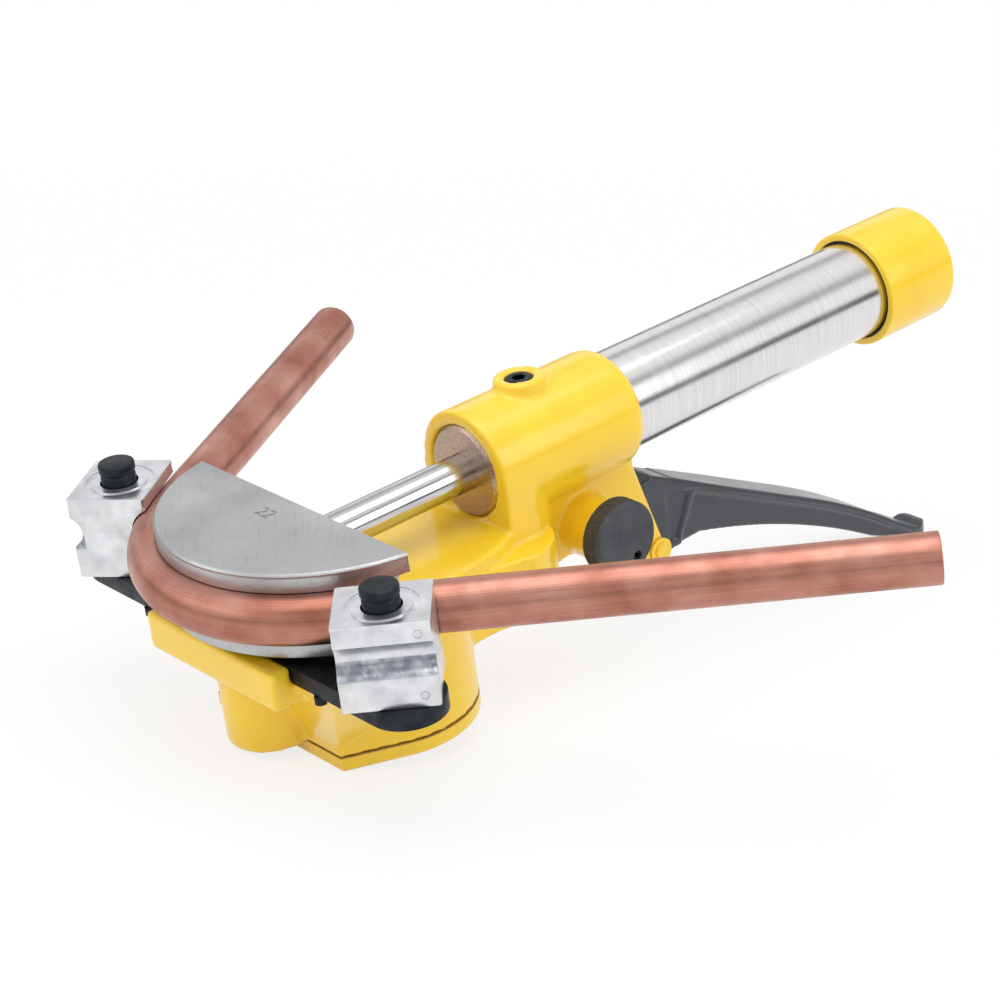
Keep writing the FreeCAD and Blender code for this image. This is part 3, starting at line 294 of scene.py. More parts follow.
def enamel(name, dark, light, roughness, coat, lumps=45.0, height=0.0003):
    # Sprayed enamel over a cast skin: slow waves, faint orange peel.
    material, tree, shader = newMaterial(name)
    shader.inputs["Coat Weight"].default_value = coat
    shader.inputs["Coat Roughness"].default_value = enamelSkin["coatRoughness"]
    skin = useGroup(tree, castSkin, objectVector(tree), Grit=enamelSkin["grit"], Lumps=lumps)
    ramp = rampOf(tree, [(0.3, dark), (0.7, light)], (-400, 200))
    tree.links.new(skin.outputs["Shade"], ramp.inputs[0])
    tree.links.new(ramp.outputs[0], shader.inputs["Base Color"])
    tree.links.new(ranged(tree, skin.outputs["Shade"], roughness - enamelSkin["smoother"],
                          roughness + enamelSkin["rougher"]), shader.inputs["Roughness"])
    bumpFrom(tree, shader, skin.outputs["Height"], enamelSkin["bump"], height)
    return material


def groundMetal(name, dark, light, roughness, fineness, stretch, turn=(0, 0, 0), spread=0.06, height=0.00001):
    # Ground, drawn or turned steel: fine lines, drawn out by the stretch.
    material, tree, shader = newMaterial(name, Metallic=1.0)
    lines = useGroup(tree, streaks, objectVector(tree, turn), Fineness=fineness, Stretch=stretch)
    ramp = rampOf(tree, [(0.35, dark), (0.65, light)], (-400, 200))
    tree.links.new(lines.outputs["Streaks"], ramp.inputs[0])
    tree.links.new(ramp.outputs[0], shader.inputs["Base Color"])
    tree.links.new(ranged(tree, lines.outputs["Patches"], roughness - spread, roughness + spread),
                   shader.inputs["Roughness"])
    bumpFrom(tree, shader, lines.outputs["Streaks"], 0.3, height)
    return material


def castMetal(name, dark, light, roughness, grit=700.0, lumps=90.0, height=0.00025, strength=0.5,
              metallic=1.0):
    # Cast, blackened or moulded skin; the lighter spots are the smoother ones.
    material, tree, shader = newMaterial(name, Metallic=metallic)
    skin = useGroup(tree, castSkin, objectVector(tree), Grit=grit, Lumps=lumps)
    ramp = rampOf(tree, [(0.3, dark), (0.7, light)], (-400, 200))
    tree.links.new(skin.outputs["Shade"], ramp.inputs[0])
    tree.links.new(ramp.outputs[0], shader.inputs["Base Color"])
    tree.links.new(ranged(tree, skin.outputs["Shade"], roughness + 0.1, roughness - 0.06),
                   shader.inputs["Roughness"])
    bumpFrom(tree, shader, skin.outputs["Height"], strength, height)
    return material


copperFinish = dict(
    fineness=1500.0, stretch=(0.012, 1, 1), patches=90.0, grit=900.0, stains=42.0,
    tones=[(0.3, (0.40, 0.150, 0.102)), (0.5, (0.52, 0.235, 0.175)), (0.72, (0.63, 0.335, 0.265))],
    lines=[(0.36, (0.70, 0.62, 0.60)), (0.60, (1, 1, 1))], lineShare=0.4,
    dull=0.46, bright=0.30, bump=0.25, bumpHeight=0.000008)


def copperSkin():
    # Drawn copper: streaks along the tube from its own UV map, stains and dull patches.
    material, tree, shader = newMaterial("drawnCopper", Metallic=1.0)
    uv = add(tree, "ShaderNodeUVMap", (-1200, 200), uv_map="alongTube")
    lines = useGroup(tree, streaks, uv.outputs[0], (-800, 200), Fineness=copperFinish["fineness"],
                     Stretch=copperFinish["stretch"], Spread=copperFinish["patches"])
    skin = useGroup(tree, castSkin, objectVector(tree), (-800, -200), Grit=copperFinish["grit"],
                    Lumps=copperFinish["stains"])
    tone = rampOf(tree, copperFinish["tones"], (-500, 100))
    tree.links.new(skin.outputs["Shade"], tone.inputs[0])
    shade = rampOf(tree, copperFinish["lines"], (-500, 350))
    tree.links.new(lines.outputs["Streaks"], shade.inputs[0])
    colour = mixedColour(tree, tone.outputs[0], shade.outputs[0], copperFinish["lineShare"], (-250, 150),
                         "MULTIPLY")
    tree.links.new(colour, shader.inputs["Base Color"])
    tree.links.new(ranged(tree, lines.outputs["Patches"], copperFinish["dull"], copperFinish["bright"]),
                   shader.inputs["Roughness"])
    bumpFrom(tree, shader, lines.outputs["Streaks"], copperFinish["bump"], copperFinish["bumpHeight"])
    return material


shoeFinish = dict(
    dark=(0.42, 0.425, 0.43), light=(0.55, 0.555, 0.56), roughness=0.38, grit=520.0, lumps=34.0,
    height=0.0006, strength=0.6, scratches=700.0, stretch=(0.02, 1, 1), patches=24.0, turn=(0, 0, 38),
    lines=[(0.30, (0.66, 0.66, 0.67)), (0.42, (1, 1, 1))], lineShare=0.35)


def shoeMetal():
    # A cast face that was ground by hand: soft waves, grit and long thin scratches.
    material = castMetal("formerAluminium", shoeFinish["dark"], shoeFinish["light"],
                         shoeFinish["roughness"], shoeFinish["grit"], shoeFinish["lumps"],
                         shoeFinish["height"], shoeFinish["strength"])
    tree = material.node_tree
    base = principledOf(material).inputs["Base Color"]
    lines = useGroup(tree, streaks, objectVector(tree, shoeFinish["turn"]), (-800, -500),
                     Fineness=shoeFinish["scratches"], Stretch=shoeFinish["stretch"],
                     Spread=shoeFinish["patches"])
    shade = rampOf(tree, shoeFinish["lines"], (-500, -500))
    tree.links.new(lines.outputs["Streaks"], shade.inputs[0])
    colour = mixedColour(tree, base.links[0].from_socket, shade.outputs[0], shoeFinish["lineShare"],
                         (-200, 300), "MULTIPLY")
    tree.links.new(colour, base)
    return material


brightCast = dict(dark=(0.62, 0.63, 0.65), light=(0.84, 0.85, 0.87), roughness=0.30, grit=700.0, lumps=110.0,
                  height=0.00022, strength=0.5)
# Painted shade in the small groove: a darker, speckled band, in the block's own axes, in metres.
paintedGrooveShade = dict(low=-0.0072, high=-0.0012, out=0.0125, soft=0.0012, step=0.0002, specks=240.0,
                  thin=0.45, fromNoise=0.38, toNoise=0.60, shade=(0.27, 0.29, 0.33, 1))


def blockMetal(name, place):
    # Bright cast block; a darker, speckled band of painted shade is mixed into the colour of its small
    # groove.
    material = castMetal(name, **brightCast)
    tree = material.node_tree
    base = principledOf(material).inputs["Base Color"]
    back = place.inverted()
    mapping = add(tree, "ShaderNodeMapping", (-1000, -500))
    mapping.inputs["Location"].default_value = back.to_translation()
    mapping.inputs["Rotation"].default_value = back.to_euler("XYZ")
    coords = add(tree, "ShaderNodeTexCoord", (-1200, -500))
    tree.links.new(coords.outputs["Object"], mapping.inputs["Vector"])
    split = add(tree, "ShaderNodeSeparateXYZ", (-800, -500))
    tree.links.new(mapping.outputs[0], split.inputs[0])
    speck = add(tree, "ShaderNodeTexNoise", (-800, -1000))
    speck.inputs["Scale"].default_value = paintedGrooveShade["specks"]
    speck.inputs["Detail"].default_value = 3.0
    tree.links.new(mapping.outputs[0], speck.inputs["Vector"])
    across, height = split.outputs[0], split.outputs[2]
    # Painted shade: this mask marks the band in the groove on the outer face, broken up by specks, and
    # darkens the base colour there.
    grooveShadeMask = ranged(tree, height, 0.0, 1.0, paintedGrooveShade["low"] - paintedGrooveShade["soft"], paintedGrooveShade["low"],
                  (-600, -400))
    for share in (
            ranged(tree, height, 1.0, 0.0, paintedGrooveShade["high"], paintedGrooveShade["high"] + paintedGrooveShade["soft"] / 2,
                   (-600, -600)),
            ranged(tree, across, 0.0, 1.0, paintedGrooveShade["out"] - paintedGrooveShade["step"], paintedGrooveShade["out"],
                   (-600, -800)),
            ranged(tree, speck.outputs[0], paintedGrooveShade["thin"], 1.0, paintedGrooveShade["fromNoise"],
                   paintedGrooveShade["toNoise"], (-600, -1000))):
        grooveShadeMask = multiplied(tree, grooveShadeMask, share, (-400, -600))
    tree.links.new(mixedColour(tree, base.links[0].from_socket, paintedGrooveShade["shade"], grooveShadeMask, (-200, 300)), base)
    return material


# Turns object coordinates back to the tool's own axes, so that Y runs along the ram.
tiltBack = (-stand["tilt"], 0, 0)
yellowEnamel = enamel("yellowEnamel", dark=(0.90, 0.575, 0.014), light=(0.94, 0.635, 0.020),
                      roughness=0.32, coat=0.5)
blackEnamel = enamel("blackLeverEnamel", dark=(0.018, 0.023, 0.032), light=(0.026, 0.032, 0.042),
                     roughness=0.30, coat=0.35, lumps=60.0)
blackOxide = castMetal("blackenedSteel", dark=(0.024, 0.028, 0.034), light=(0.042, 0.047, 0.054),
                       roughness=0.45, grit=900.0, lumps=120.0, height=0.00005)
castAluminium = castMetal("castAluminium", **brightCast)
formerAluminium = shoeMetal()
polishedRod = groundMetal("polishedRod", dark=(0.50, 0.50, 0.51), light=(0.66, 0.66, 0.67), roughness=0.16,
                          fineness=1500.0, stretch=(1, 0.03, 1), turn=tiltBack, spread=0.04, height=0.000006)
groundTube = groundMetal("groundTube", dark=(0.70, 0.69, 0.685), light=(0.80, 0.79, 0.785), roughness=0.19,
                         fineness=2600.0, stretch=(0.012, 1, 0.012), turn=tiltBack, spread=0.03,
                         height=0.000003)
bronze = groundMetal("turnedBronze", dark=(0.36, 0.26, 0.20), light=(0.56, 0.43, 0.34), roughness=0.3,
                     fineness=1600.0, stretch=(1, 0.1, 1), turn=tiltBack)
springSteel = groundMetal("springSteel", dark=(0.35, 0.35, 0.36), light=(0.5, 0.5, 0.5), roughness=0.35,
                          fineness=1200.0, stretch=(0.1, 1, 1))
sealRubber = castMetal("sealRubber", dark=(0.015, 0.015, 0.015), light=(0.03, 0.03, 0.03), roughness=0.6,
                       grit=900.0, lumps=200.0, metallic=0.0)
gasketFibre = castMetal("gasketFibre", dark=(0.30, 0.17, 0.03), light=(0.40, 0.24, 0.05), roughness=0.75,
                        grit=900.0, lumps=300.0, metallic=0.0)
knobBlack = castMetal("knobBlack", dark=(0.045, 0.048, 0.055), light=(0.07, 0.074, 0.082), roughness=0.5,
                      grit=900.0, lumps=90.0, height=0.00006, metallic=0.3)
copper = copperSkin()
print("materials made")

# Which finish each node of the frame wears.
finishOfNodes = [
    (yellowEnamel, ("body_casting", "base_cover", "rear_cap", "lever_pin", "pivot_clips")),
    (blackOxide, ("support_bar", "bar_screws", "lock_screws", "cover_screws", "fill_plug", "check_plug",
                  "knob_screw", "catch_plug", "guide_pin_right", "guide_pin_left")),
    (castAluminium, ("guide_block_right", "guide_block_left")),
    (formerAluminium, ("bending_former",)),
    (polishedRod, ("ram_rod",)),
    (groundTube, ("reservoir_tube", "pressure_cylinder", "piston", "piston_nut", "release_spindle",
                  "pump_plunger")),
    (bronze, ("gland_bush",)),
    (springSteel, ("return_spring", "plunger_spring", "check_spring", "catch_spring", "check_ball",
                   "release_ball", "catch_ball")),
    (sealRubber, ("piston_seal", "cap_seal", "rod_seal", "spindle_seal")),
    (gasketFibre, ("cover_gasket",)),
    (blackEnamel, ("pump_lever",)),
    (knobBlack, ("release_knob",)),
    (copper, ("workpiece_tube",)),
]
for material, names in finishOfNodes:
    for name in names:
        for slot in nodes[name].material_slots:
            slot.link = "OBJECT"
            slot.material = material

# Casting, base cover and rear cap.
shell = dict(voxel=0.0011, rounds=10, keep=0.82, coverEdge=0.0006, capEdge=0.0005)
castingSkin = castCopy("body_casting", "castingSkin", shell["voxel"], shell["rounds"], shell["keep"])
finishPiece(castingSkin, yellowEnamel, "frame", "body_casting")
coverShell = roundedCopy("base_cover", "coverShell", shell["coverEdge"])
finishPiece(coverShell, yellowEnamel, "frame", "base_cover")
capShell = roundedCopy("rear_cap", "capShell", shell["capEdge"])
finishPiece(capShell, yellowEnamel, "frame", "rear_cap")
print("casting and covers done")

# Bar, guide blocks and their pins.
bar = dict(edge=0.0006)
barPlate = roundedCopy("support_bar", "barPlate", bar["edge"])
finishPiece(barPlate, blackOxide, "frame", "support_bar")

# Each block's place and turn, then its sizes in its own axes, in metres.
block = dict(right=(0.0942036, -0.0663033, -41.3), left=(-0.0942036, -0.0663033, 216.5), top=0.0163,
             floor=0.0153, bore=0.00865, edge=0.0012, collar=0.0126, collarFoot=0.0004, collarHeight=0.0006,
             seam=0.0021, seamWide=0.0005, seamDeep=0.00022, sides=72,
             marks=((0.0179, 0.0145, 0.011), (0.0179, 0.0140, -0.0165)), markRadius=0.0017, markLine=0.00028)
# Radius and height of the pin, from its foot to its head.
pinShape = dict(edge=0.0004, turned=[
    (0.0071, -0.037), (0.0078, -0.0363), (0.0078, 0.0196), (0.0072, 0.0201), (0.0072, 0.0208),
    (0.0082, 0.0213), (0.0082, 0.0246), (0.0077, 0.0252), (0.0066, 0.0254)])


def turnedPiece(name, profile, sides, edge, place):
    # Turned about its own Z from bottom to top: a disc is extruded and scaled step by step.
    bpy.ops.mesh.primitive_circle_add(vertices=sides, radius=profile[0][0], fill_type="NGON",
                                      location=(0, 0, profile[0][1]))
    piece = settle(bpy.context.active_object)
    piece.name = name
    bpy.ops.object.mode_set(mode="EDIT")
    bpy.ops.mesh.select_all(action="SELECT")
    radius, height = profile[0]
    for nextRadius, nextHeight in profile[1:]:
        bpy.ops.mesh.extrude_region_move(TRANSFORM_OT_translate={"value": (0, 0, nextHeight - height)})
        grow = nextRadius / radius
        if grow != 1:
            bpy.ops.transform.resize(value=(grow, grow, 1), center_override=(0, 0, nextHeight))
        radius, height = nextRadius, nextHeight
    bpy.ops.mesh.select_all(action="SELECT")
    bpy.ops.mesh.normals_make_consistent(inside=False)
    bpy.ops.object.mode_set(mode="OBJECT")
    if edge:
        modified(piece, "BEVEL", width=edge, segments=2, limit_method="ANGLE", angle_limit=math.radians(32))
    piece.matrix_world = place
    settle(piece)
    smoothByAngle(piece, 35)
    return piece


def cutBy(piece, tool, operation="DIFFERENCE"):
    modified(piece, "BOOLEAN", operation=operation, solver="EXACT", object=tool)
    bpy.data.objects.remove(tool)
    return piece


def seamRound(piece, low, high, deep):
    # A fine parting seam round the sides, between two heights in the tool's own axes.
    back = toToolPlace.inverted()
    up = toToolPlace.to_3x3() @ Vector((0, 0, 1))
    for height in (low, high):
        inEditMode(piece, lambda: (
            bpy.ops.mesh.select_all(action="SELECT"),
            bpy.ops.mesh.bisect(plane_co=toToolPlace @ Vector((0, 0, height)), plane_no=up)))
    only(piece)
    bpy.ops.object.mode_set(mode="EDIT")
    bpy.ops.mesh.select_mode(type="FACE")
    bpy.ops.mesh.select_all(action="DESELECT")
    bpy.ops.object.mode_set(mode="OBJECT")
    for polygon in piece.data.polygons:
        polygon.select = low < (back @ polygon.center).z < high and abs(polygon.normal.dot(up)) < 0.8
    inEditMode(piece, lambda: bpy.ops.transform.shrink_fatten(value=-deep))
    return piece


def collarOf(place):
    # The low rough ring round the pin.
    foot, top = block["floor"] - block["collarFoot"], block["floor"] + block["collarHeight"]
    ring = turnedPiece("collar", [(block["collar"], foot), (block["collar"], top)], block["sides"], 0, place)
    drill = [(block["bore"], block["floor"] - 0.001), (block["bore"], block["top"] + 0.002)]
    return cutBy(ring, turnedPiece("hole", drill, block["sides"], 0, place))


def roundMark(place):
    # The faint ring that a casting's ejector pin leaves.
    bpy.ops.mesh.primitive_torus_add(major_segments=32, minor_segments=8, major_radius=block["markRadius"],
                                     minor_radius=block["markLine"], rotation=(0, math.pi / 2, 0))
    mark = settle(bpy.context.active_object)
    mark.matrix_world = place
    return settle(mark)


for side in ("right", "left"):
    x, y, angle = block[side]
    blockPlace = toToolPlace @ Matrix.Translation((x, y, 0)) @ Matrix.Rotation(math.radians(angle), 4, "Z")
    piece = copyOf("guide_block_" + side, "block" + side.title())
    inEditMode(piece, lambda: (
        bpy.ops.mesh.select_all(action="SELECT"), bpy.ops.mesh.dissolve_limited(angle_limit=math.radians(2))))
    modified(piece, "BEVEL", width=block["edge"], segments=3, limit_method="ANGLE",
             angle_limit=math.radians(50))
    cutBy(piece, collarOf(blockPlace), "UNION")
    seamTop = block["top"] - block["seam"]
    seamRound(piece, seamTop - block["seamWide"], seamTop, block["seamDeep"])
    for spot in block["marks"]:
        cutBy(piece, roundMark(blockPlace @ Matrix.Translation(spot)))
    smoothByAngle(piece, 35)
    finishPiece(piece, blockMetal("castBlock" + side.title(), blockPlace), "block_" + side,
                "guide_block_" + side)
    pin = turnedPiece("pin" + side.title(), pinShape["turned"], block["sides"], pinShape["edge"],
                      toToolPlace @ Matrix.Translation((x, y, 0)))
    finishPiece(pin, blackOxide, "pin_" + side, "guide_pin_" + side)
    print("block and pin done:", side)

shoe = dict(top=0.0196, edge=0.0008, seam=0.0019, seamWide=0.0006, seamDeep=0.0004, stamp="22",
            stampSize=0.0098, stampPlace=(-0.006, -0.0525), stampTurn=-2.0, stampDeep=0.0004)
formerShoe = roundedCopy("bending_former", "formerShoe", shoe["edge"])
seamTop = shoe["top"] - shoe["seam"]
seamRound(formerShoe, seamTop - shoe["seamWide"], seamTop, shoe["seamDeep"])


def stampNumber(piece):
    # The plain size number of the shoe, struck into its top.
    bpy.ops.object.text_add()
    number = bpy.context.active_object
    number.data.body = shoe["stamp"]
    number.data.size = shoe["stampSize"]
    number.data.extrude = shoe["stampDeep"]
    number.data.align_x = "CENTER"
    number.data.resolution_u = 3
    only(number)
    bpy.ops.object.convert(target="MESH")
    number.matrix_world = toToolPlace @ Matrix.Translation((*shoe["stampPlace"], shoe["top"])) \
        @ Matrix.Rotation(math.radians(shoe["stampTurn"]), 4, "Z")
    inEditMode(number, lambda: (
        bpy.ops.mesh.select_all(action="SELECT"), bpy.ops.mesh.remove_doubles(threshold=0.000002)))
    return cutBy(piece, settle(number))


stampNumber(formerShoe)
smoothByAngle(formerShoe, 35)
finishPiece(formerShoe, formerAluminium, "ram", "bending_former")
print("bar, blocks, pins and former done")

# Copper tube, swept round its two bends.
tube = dict(radius=0.011, wall=0.0011, rim=0.0005, bendRight=0.0762, bendLeft=0.0876, centre=-0.0212,
            angleRight=41.3, angleLeft=32.1, lengthRight=0.2508, lengthLeft=0.2105, sides=64,
            legSteps=24, bendSteps=30)


def onCircle(radius, angle):
    return radius * Vector((math.cos(angle), math.sin(angle), 0))


def tubeStations():
    # Middle line of the tube from the right end to the left: place, direction, way along.
    right, left = math.radians(tube["angleRight"]), math.radians(tube["angleLeft"])
    legs, bends = tube["legSteps"], tube["bendSteps"]
    centre = Vector((0, tube["centre"], 0))
    middle = Vector((0, tube["centre"] + tube["bendLeft"] - tube["bendRight"], 0))
    foot = centre + onCircle(tube["bendRight"], -right)
    heading = Vector((math.sin(right), math.cos(right), 0))
    stations = []
    for index in range(legs):
        reach = tube["lengthRight"] * (1 - index / legs)
        stations.append((foot + reach * heading, -heading, tube["lengthRight"] - reach))
    way = tube["lengthRight"]
    for hub, radius, start, sweep, first in (
            (centre, tube["bendRight"], -right, math.pi / 2 - right, 0),
            (middle, tube["bendLeft"], -math.pi / 2, math.pi / 2 - left, 1)):
        for index in range(first, bends + 1):
            angle = start - sweep * index / bends
            stations.append((hub + onCircle(radius, angle), Vector((math.sin(angle), -math.cos(angle), 0)),
                             way + radius * sweep * index / bends))
        way += radius * sweep
    foot = middle + tube["bendLeft"] * Vector((-math.cos(left), -math.sin(left), 0))
    heading = Vector((-math.sin(left), math.cos(left), 0))
    for index in range(1, legs + 1):
        reach = tube["lengthLeft"] * index / legs
        stations.append((foot + reach * heading, heading, way + reach))
    return stations


def ringAt(place, heading):
    across = Vector((0, 0, 1)).cross(heading).normalized()
    return Matrix.Translation(place) @ Matrix((across, (0, 0, 1), heading)).transposed().to_4x4()


def sweptTube(stations):
    # A ring is extruded from station to station.
    bpy.ops.mesh.primitive_circle_add(vertices=tube["sides"], radius=tube["radius"])
    piece = bpy.context.active_object
    piece.name = "copperTube"
    inEditMode(piece, lambda: bpy.ops.mesh.select_mode(type="VERT"))
    piece.matrix_world = ringAt(*stations[0][:2])
    settle(piece)
    inEditMode(piece, lambda: bpy.ops.mesh.select_all(action="SELECT"))
    for (place, heading, _), (nextPlace, nextHeading, _) in zip(stations, stations[1:]):
        step = ringAt(nextPlace, nextHeading) @ ringAt(place, heading).inverted()
        inEditMode(piece, lambda: bpy.ops.mesh.extrude_region_move(
            TRANSFORM_OT_translate={"value": (0, 0, 0)}))
        for vertex in piece.data.vertices:
            if vertex.select:
                vertex.co = step @ vertex.co
    return piece


def unroll(piece, stations):
    # A UV map in metres: along the tube, then round it.
    sides = tube["sides"]
    layer = piece.data.uv_layers.new(name="alongTube")
    for polygon in piece.data.polygons:
        crossesSeam = max(index % sides for index in polygon.vertices) > sides / 2
        for loopIndex in polygon.loop_indices:
            ring, spoke = divmod(piece.data.loops[loopIndex].vertex_index, sides)
            if spoke == 0 and crossesSeam:
                spoke = sides
            layer.data[loopIndex].uv = (stations[ring][2], spoke / sides * 2 * math.pi * tube["radius"])


stations = tubeStations()
copperTube = sweptTube(stations)
unroll(copperTube, stations)
inEditMode(copperTube, lambda: (
    bpy.ops.mesh.select_all(action="SELECT"), bpy.ops.mesh.normals_make_consistent(inside=False)))
modified(copperTube, "SOLIDIFY", thickness=tube["wall"], offset=-1.0, use_rim=True)
modified(copperTube, "BEVEL", width=tube["rim"], segments=3, limit_method="ANGLE",
         angle_limit=math.radians(50))
intoRow(copperTube)
smoothByAngle(copperTube, 40)
finishPiece(copperTube, copper, "ram", "workpiece_tube")
print("copper tube done:", len(stations), "rings")

# Lever and knob.
lever = dict(voxel=0.0008, rounds=4, endStart=0.325, endLong=0.0195, endBack=0.0045, endDrop=0.6,
             endLow=0.0075)
leverGrip = castCopy("pump_lever", "leverGrip", lever["voxel"], lever["rounds"])


def roundLeverEnd(piece):
    # The tip is rounded seen from above, and its pad rises only a little over the grip.
    back = toToolPlace.inverted()
    for vertex in piece.data.vertices:
        spot = back @ vertex.co
        over = (spot.y - lever["endStart"]) / lever["endLong"]
        if over > 0:
            height = vertex.co.z
            spot.x *= math.sqrt(max(0.02, 1 - min(over, 1.0) ** 2))
            spot.y -= lever["endBack"] * min(over, 1.0) ** 2
            vertex.co = toToolPlace @ spot
            rise = max(height - stand["floor"] - lever["endLow"], 0.0)
            vertex.co.z = height - lever["endDrop"] * min(over * 3, 1.0) * rise


roundLeverEnd(leverGrip)
finishPiece(leverGrip, blackEnamel, "lever", "pump_lever")

knob = dict(place=(0, 0.1053, -0.0429), inner=0.0325, outer=0.044, radius=0.018, teeth=96, tooth=0.00035,
            chamfer=0.0016, screwPlace=(0, 0.1107, -0.0528), screwRadius=0.0024, screwDeep=0.004)


def knurledKnob():
    # A disc with a narrow chamfer, fine teeth round its rim and the hole of its screw.
    width = knob["outer"] - knob["inner"]
    bpy.ops.mesh.primitive_cylinder_add(vertices=knob["teeth"] * 2, radius=knob["radius"], depth=width)
    piece = bpy.context.active_object
    piece.name = "knurledKnob"
    inEditMode(piece, lambda: (
        bpy.ops.mesh.select_all(action="DESELECT"), bpy.ops.mesh.select_mode(type="FACE")))
    for polygon in piece.data.polygons:
        polygon.select = abs(polygon.normal.z) > 0.9
    inEditMode(piece, lambda: bpy.ops.mesh.inset(thickness=knob["chamfer"], depth=0))
    top = width / 2
    for vertex in piece.data.vertices:
        radius = math.hypot(vertex.co.x, vertex.co.y)
        if radius > knob["radius"] - knob["chamfer"] * 0.5:
            number = round(math.atan2(vertex.co.y, vertex.co.x) / (2 * math.pi) * knob["teeth"] * 2)
            cut = knob["tooth"] if number % 2 else 0.0
            scale = (radius - cut) / radius
            vertex.co.x *= scale
            vertex.co.y *= scale
            vertex.co.z *= (top - knob["chamfer"]) / top
    middle = Vector(((knob["inner"] + knob["outer"]) / 2, 0, 0))
    piece.matrix_world = Matrix.Translation(Vector(knob["place"]) + middle) @ Matrix.Rotation(
        math.pi / 2, 4, "Y")
    settle(piece)
    bpy.ops.mesh.primitive_cylinder_add(
        vertices=40, radius=knob["screwRadius"], depth=knob["screwDeep"] * 2,
        location=(knob["outer"], *knob["screwPlace"][1:]), rotation=(0, math.pi / 2, 0))
    cutBy(piece, bpy.context.active_object)
    intoRow(piece)
    smoothByAngle(piece, 20)
    return piece


finishPiece(knurledKnob(), knobBlack, "release", "release_knob")
print("lever and knob done")

# Camera, from the photograph's perspective.
cameraFacts = dict(azimuth=52.698, elevation=25.799, roll=-7.396, across=-0.05569873, up=-0.00652145,
                   away=1.23437422, lens=102.46244)


def aimCamera():
    azimuth, elevation, roll = (math.radians(cameraFacts[key]) for key in ("azimuth", "elevation", "roll"))
    back = Vector((math.sin(azimuth) * math.cos(elevation), -math.cos(azimuth) * math.cos(elevation),
                   math.sin(elevation)))
    right = Vector((math.cos(azimuth), math.sin(azimuth), 0))
    up = back.cross(right)
    turnedRight = math.cos(roll) * right + math.sin(roll) * up
    turnedUp = math.cos(roll) * up - math.sin(roll) * right
    place = cameraFacts["away"] * back - cameraFacts["across"] * turnedRight - cameraFacts["up"] * turnedUp
    matrix = Matrix((turnedRight, turnedUp, back)).transposed().to_4x4()
    matrix.translation = place
    data = bpy.data.cameras.new("photoCamera")
    data.lens = cameraFacts["lens"]
    data.sensor_width = 36.0
    data.clip_end = 20.0
    camera = bpy.data.objects.new("photoCamera", data)
    camera.matrix_world = toToolPlace @ matrix
    bpy.context.scene.collection.objects.link(camera)
    bpy.context.scene.camera = camera


aimCamera()


# Floor, light and background. The walls are what mirrors see, from the floor up.
room = dict(size=12.0, floorShade=0.9, worldStrength=0.84, whiteNear=0.78, whiteFrom=0.25, whiteTo=1.1,
            walls=[(0.0, (0.4, 0.4, 0.4)), (0.02, (0.09, 0.09, 0.10)), (0.13, (0.12, 0.12, 0.13)),
                   (0.21, (1, 1, 1)), (0.56, (1, 1, 1)), (0.66, (0.45, 0.45, 0.46)),
                   (0.72, (0.5, 0.5, 0.51)), (0.8, (1, 1, 1))])


def seenRay(tree, place=(-600, 300)):
    # 1 for rays from the camera, from mirrors and through glass.
    path = add(tree, "ShaderNodeLightPath", place)
    first = add(tree, "ShaderNodeMath", (place[0] + 200, place[1]), operation="MAXIMUM")
    both = add(tree, "ShaderNodeMath", (place[0] + 400, place[1]), operation="MAXIMUM")
    tree.links.new(path.outputs["Is Camera Ray"], first.inputs[0])
    tree.links.new(path.outputs["Is Glossy Ray"], first.inputs[1])
    tree.links.new(first.outputs[0], both.inputs[0])
    tree.links.new(path.outputs["Is Transmission Ray"], both.inputs[1])
    return both.outputs[0]


def makeFloor():
    # Pale floor that keeps the shadow near the tool and runs out into the white background.
    bpy.ops.mesh.primitive_plane_add(size=room["size"], location=(0, 0, stand["floor"]))
    floor = bpy.context.active_object
    floor.name = "paleFloor"
    material, tree, shader = newMaterial("paleFloor", Roughness=0.9)
    shader.inputs["Specular IOR Level"].default_value = 0.1
    shader.inputs["Base Color"].default_value = (*(room["floorShade"],) * 3, 1)
    coords = add(tree, "ShaderNodeTexCoord", (-900, -200))
    length = add(tree, "ShaderNodeVectorMath", (-700, -200), operation="LENGTH")
    tree.links.new(coords.outputs["Object"], length.inputs[0])
    share = ranged(tree, length.outputs["Value"], room["whiteNear"], 1.0, room["whiteFrom"], room["whiteTo"],
                   (-500, -200))
    factor = multiplied(tree, seenRay(tree), share, (0, 200))
    white = add(tree, "ShaderNodeEmission", (100, -200))
    mix = add(tree, "ShaderNodeMixShader", (400, 100))
    tree.links.new(factor, mix.inputs[0])
    tree.links.new(shader.outputs[0], mix.inputs[1])
    tree.links.new(white.outputs[0], mix.inputs[2])
    tree.links.new(mix.outputs[0], tree.nodes["Material Output"].inputs["Surface"])
    floor.data.materials.append(material)


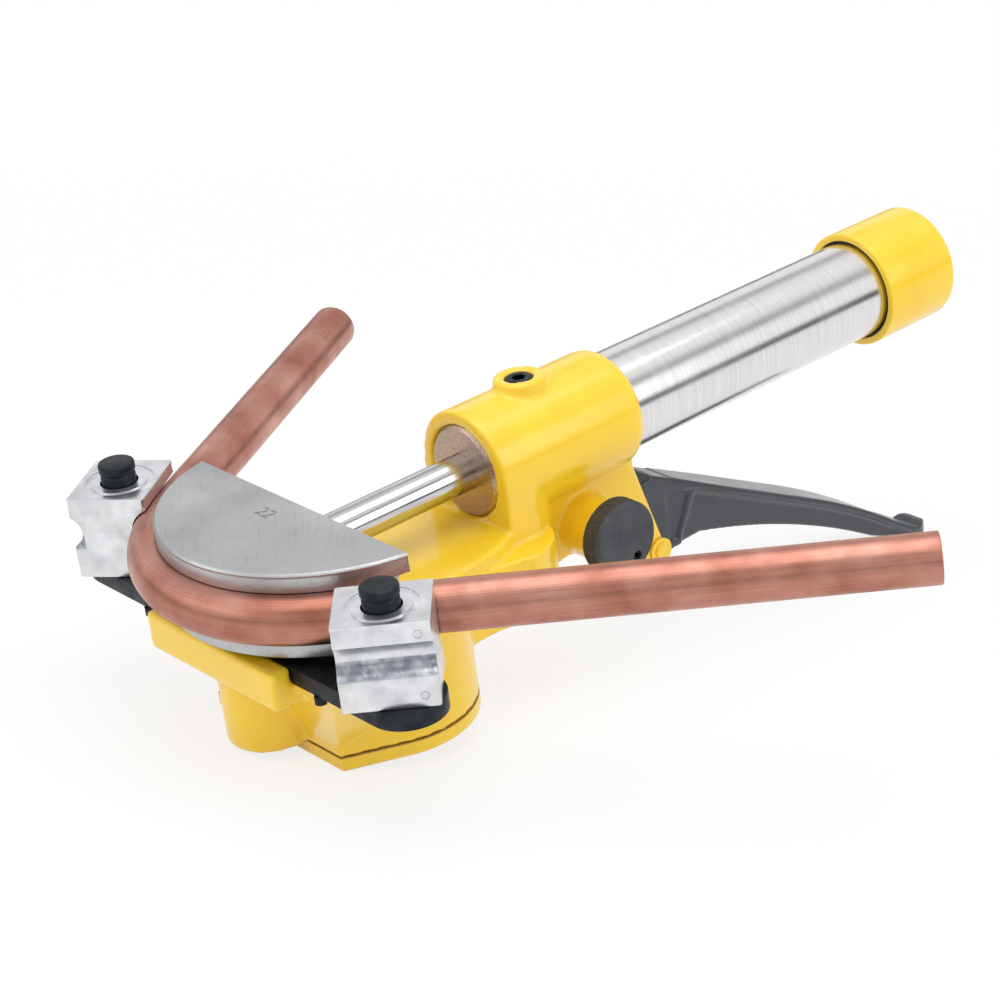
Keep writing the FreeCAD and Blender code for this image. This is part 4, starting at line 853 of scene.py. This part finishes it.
def makeWorld():
    # White all round for the camera. Mirrors see it too, with darker walls between soft windows.
    world = bpy.data.worlds.new("softRoom")
    bpy.context.scene.world = world
    world.use_nodes = True
    tree = world.node_tree
    background = tree.nodes["Background"]
    background.inputs["Color"].default_value = (1, 1, 1, 1)
    background.inputs["Strength"].default_value = room["worldStrength"]
    coords = add(tree, "ShaderNodeTexCoord", (-900, -200))
    split = add(tree, "ShaderNodeSeparateXYZ", (-700, -200))
    tree.links.new(coords.outputs["Generated"], split.inputs[0])
    walls = rampOf(tree, room["walls"], (-500, -200))
    tree.links.new(split.outputs[2], walls.inputs[0])
    path = add(tree, "ShaderNodeLightPath", (-900, 300))
    paint = mixedColour(tree, walls.outputs[0], (1, 1, 1, 1), path.outputs["Is Camera Ray"], (-150, -150))
    seen = add(tree, "ShaderNodeBackground", (50, -200))
    tree.links.new(paint, seen.inputs["Color"])
    mix = add(tree, "ShaderNodeMixShader", (300, 100))
    tree.links.new(seenRay(tree), mix.inputs[0])
    tree.links.new(background.outputs[0], mix.inputs[1])
    tree.links.new(seen.outputs[0], mix.inputs[2])
    tree.links.new(mix.outputs[0], tree.nodes["World Output"].inputs["Surface"])


def softLamp(name, place, target, size, energy):
    data = bpy.data.lights.new(name, "AREA")
    data.shape = "RECTANGLE"
    data.size, data.size_y = size
    data.energy = energy
    lamp = bpy.data.objects.new(name, data)
    lamp.location = place
    lamp.rotation_euler = (Vector(target) - Vector(place)).to_track_quat("-Z", "Y").to_euler()
    bpy.context.scene.collection.objects.link(lamp)


makeFloor()
makeWorld()
softLamp("overhead", place=(0.1, 0.0, 1.3), target=(0, 0.1, 0), size=(1.2, 1.2), energy=6.5)
softLamp("leftFront", place=(-0.6, -1.2, 0.9), target=(0, 0, 0.05), size=(1.3, 1.3), energy=3.0)
softLamp("rearRight", place=(1.4, 0.7, 0.8), target=(0, 0.1, 0.05), size=(0.6, 0.9), energy=3.5)
bpy.context.scene.view_settings.view_transform = "Standard"
print("camera, floor and light done")
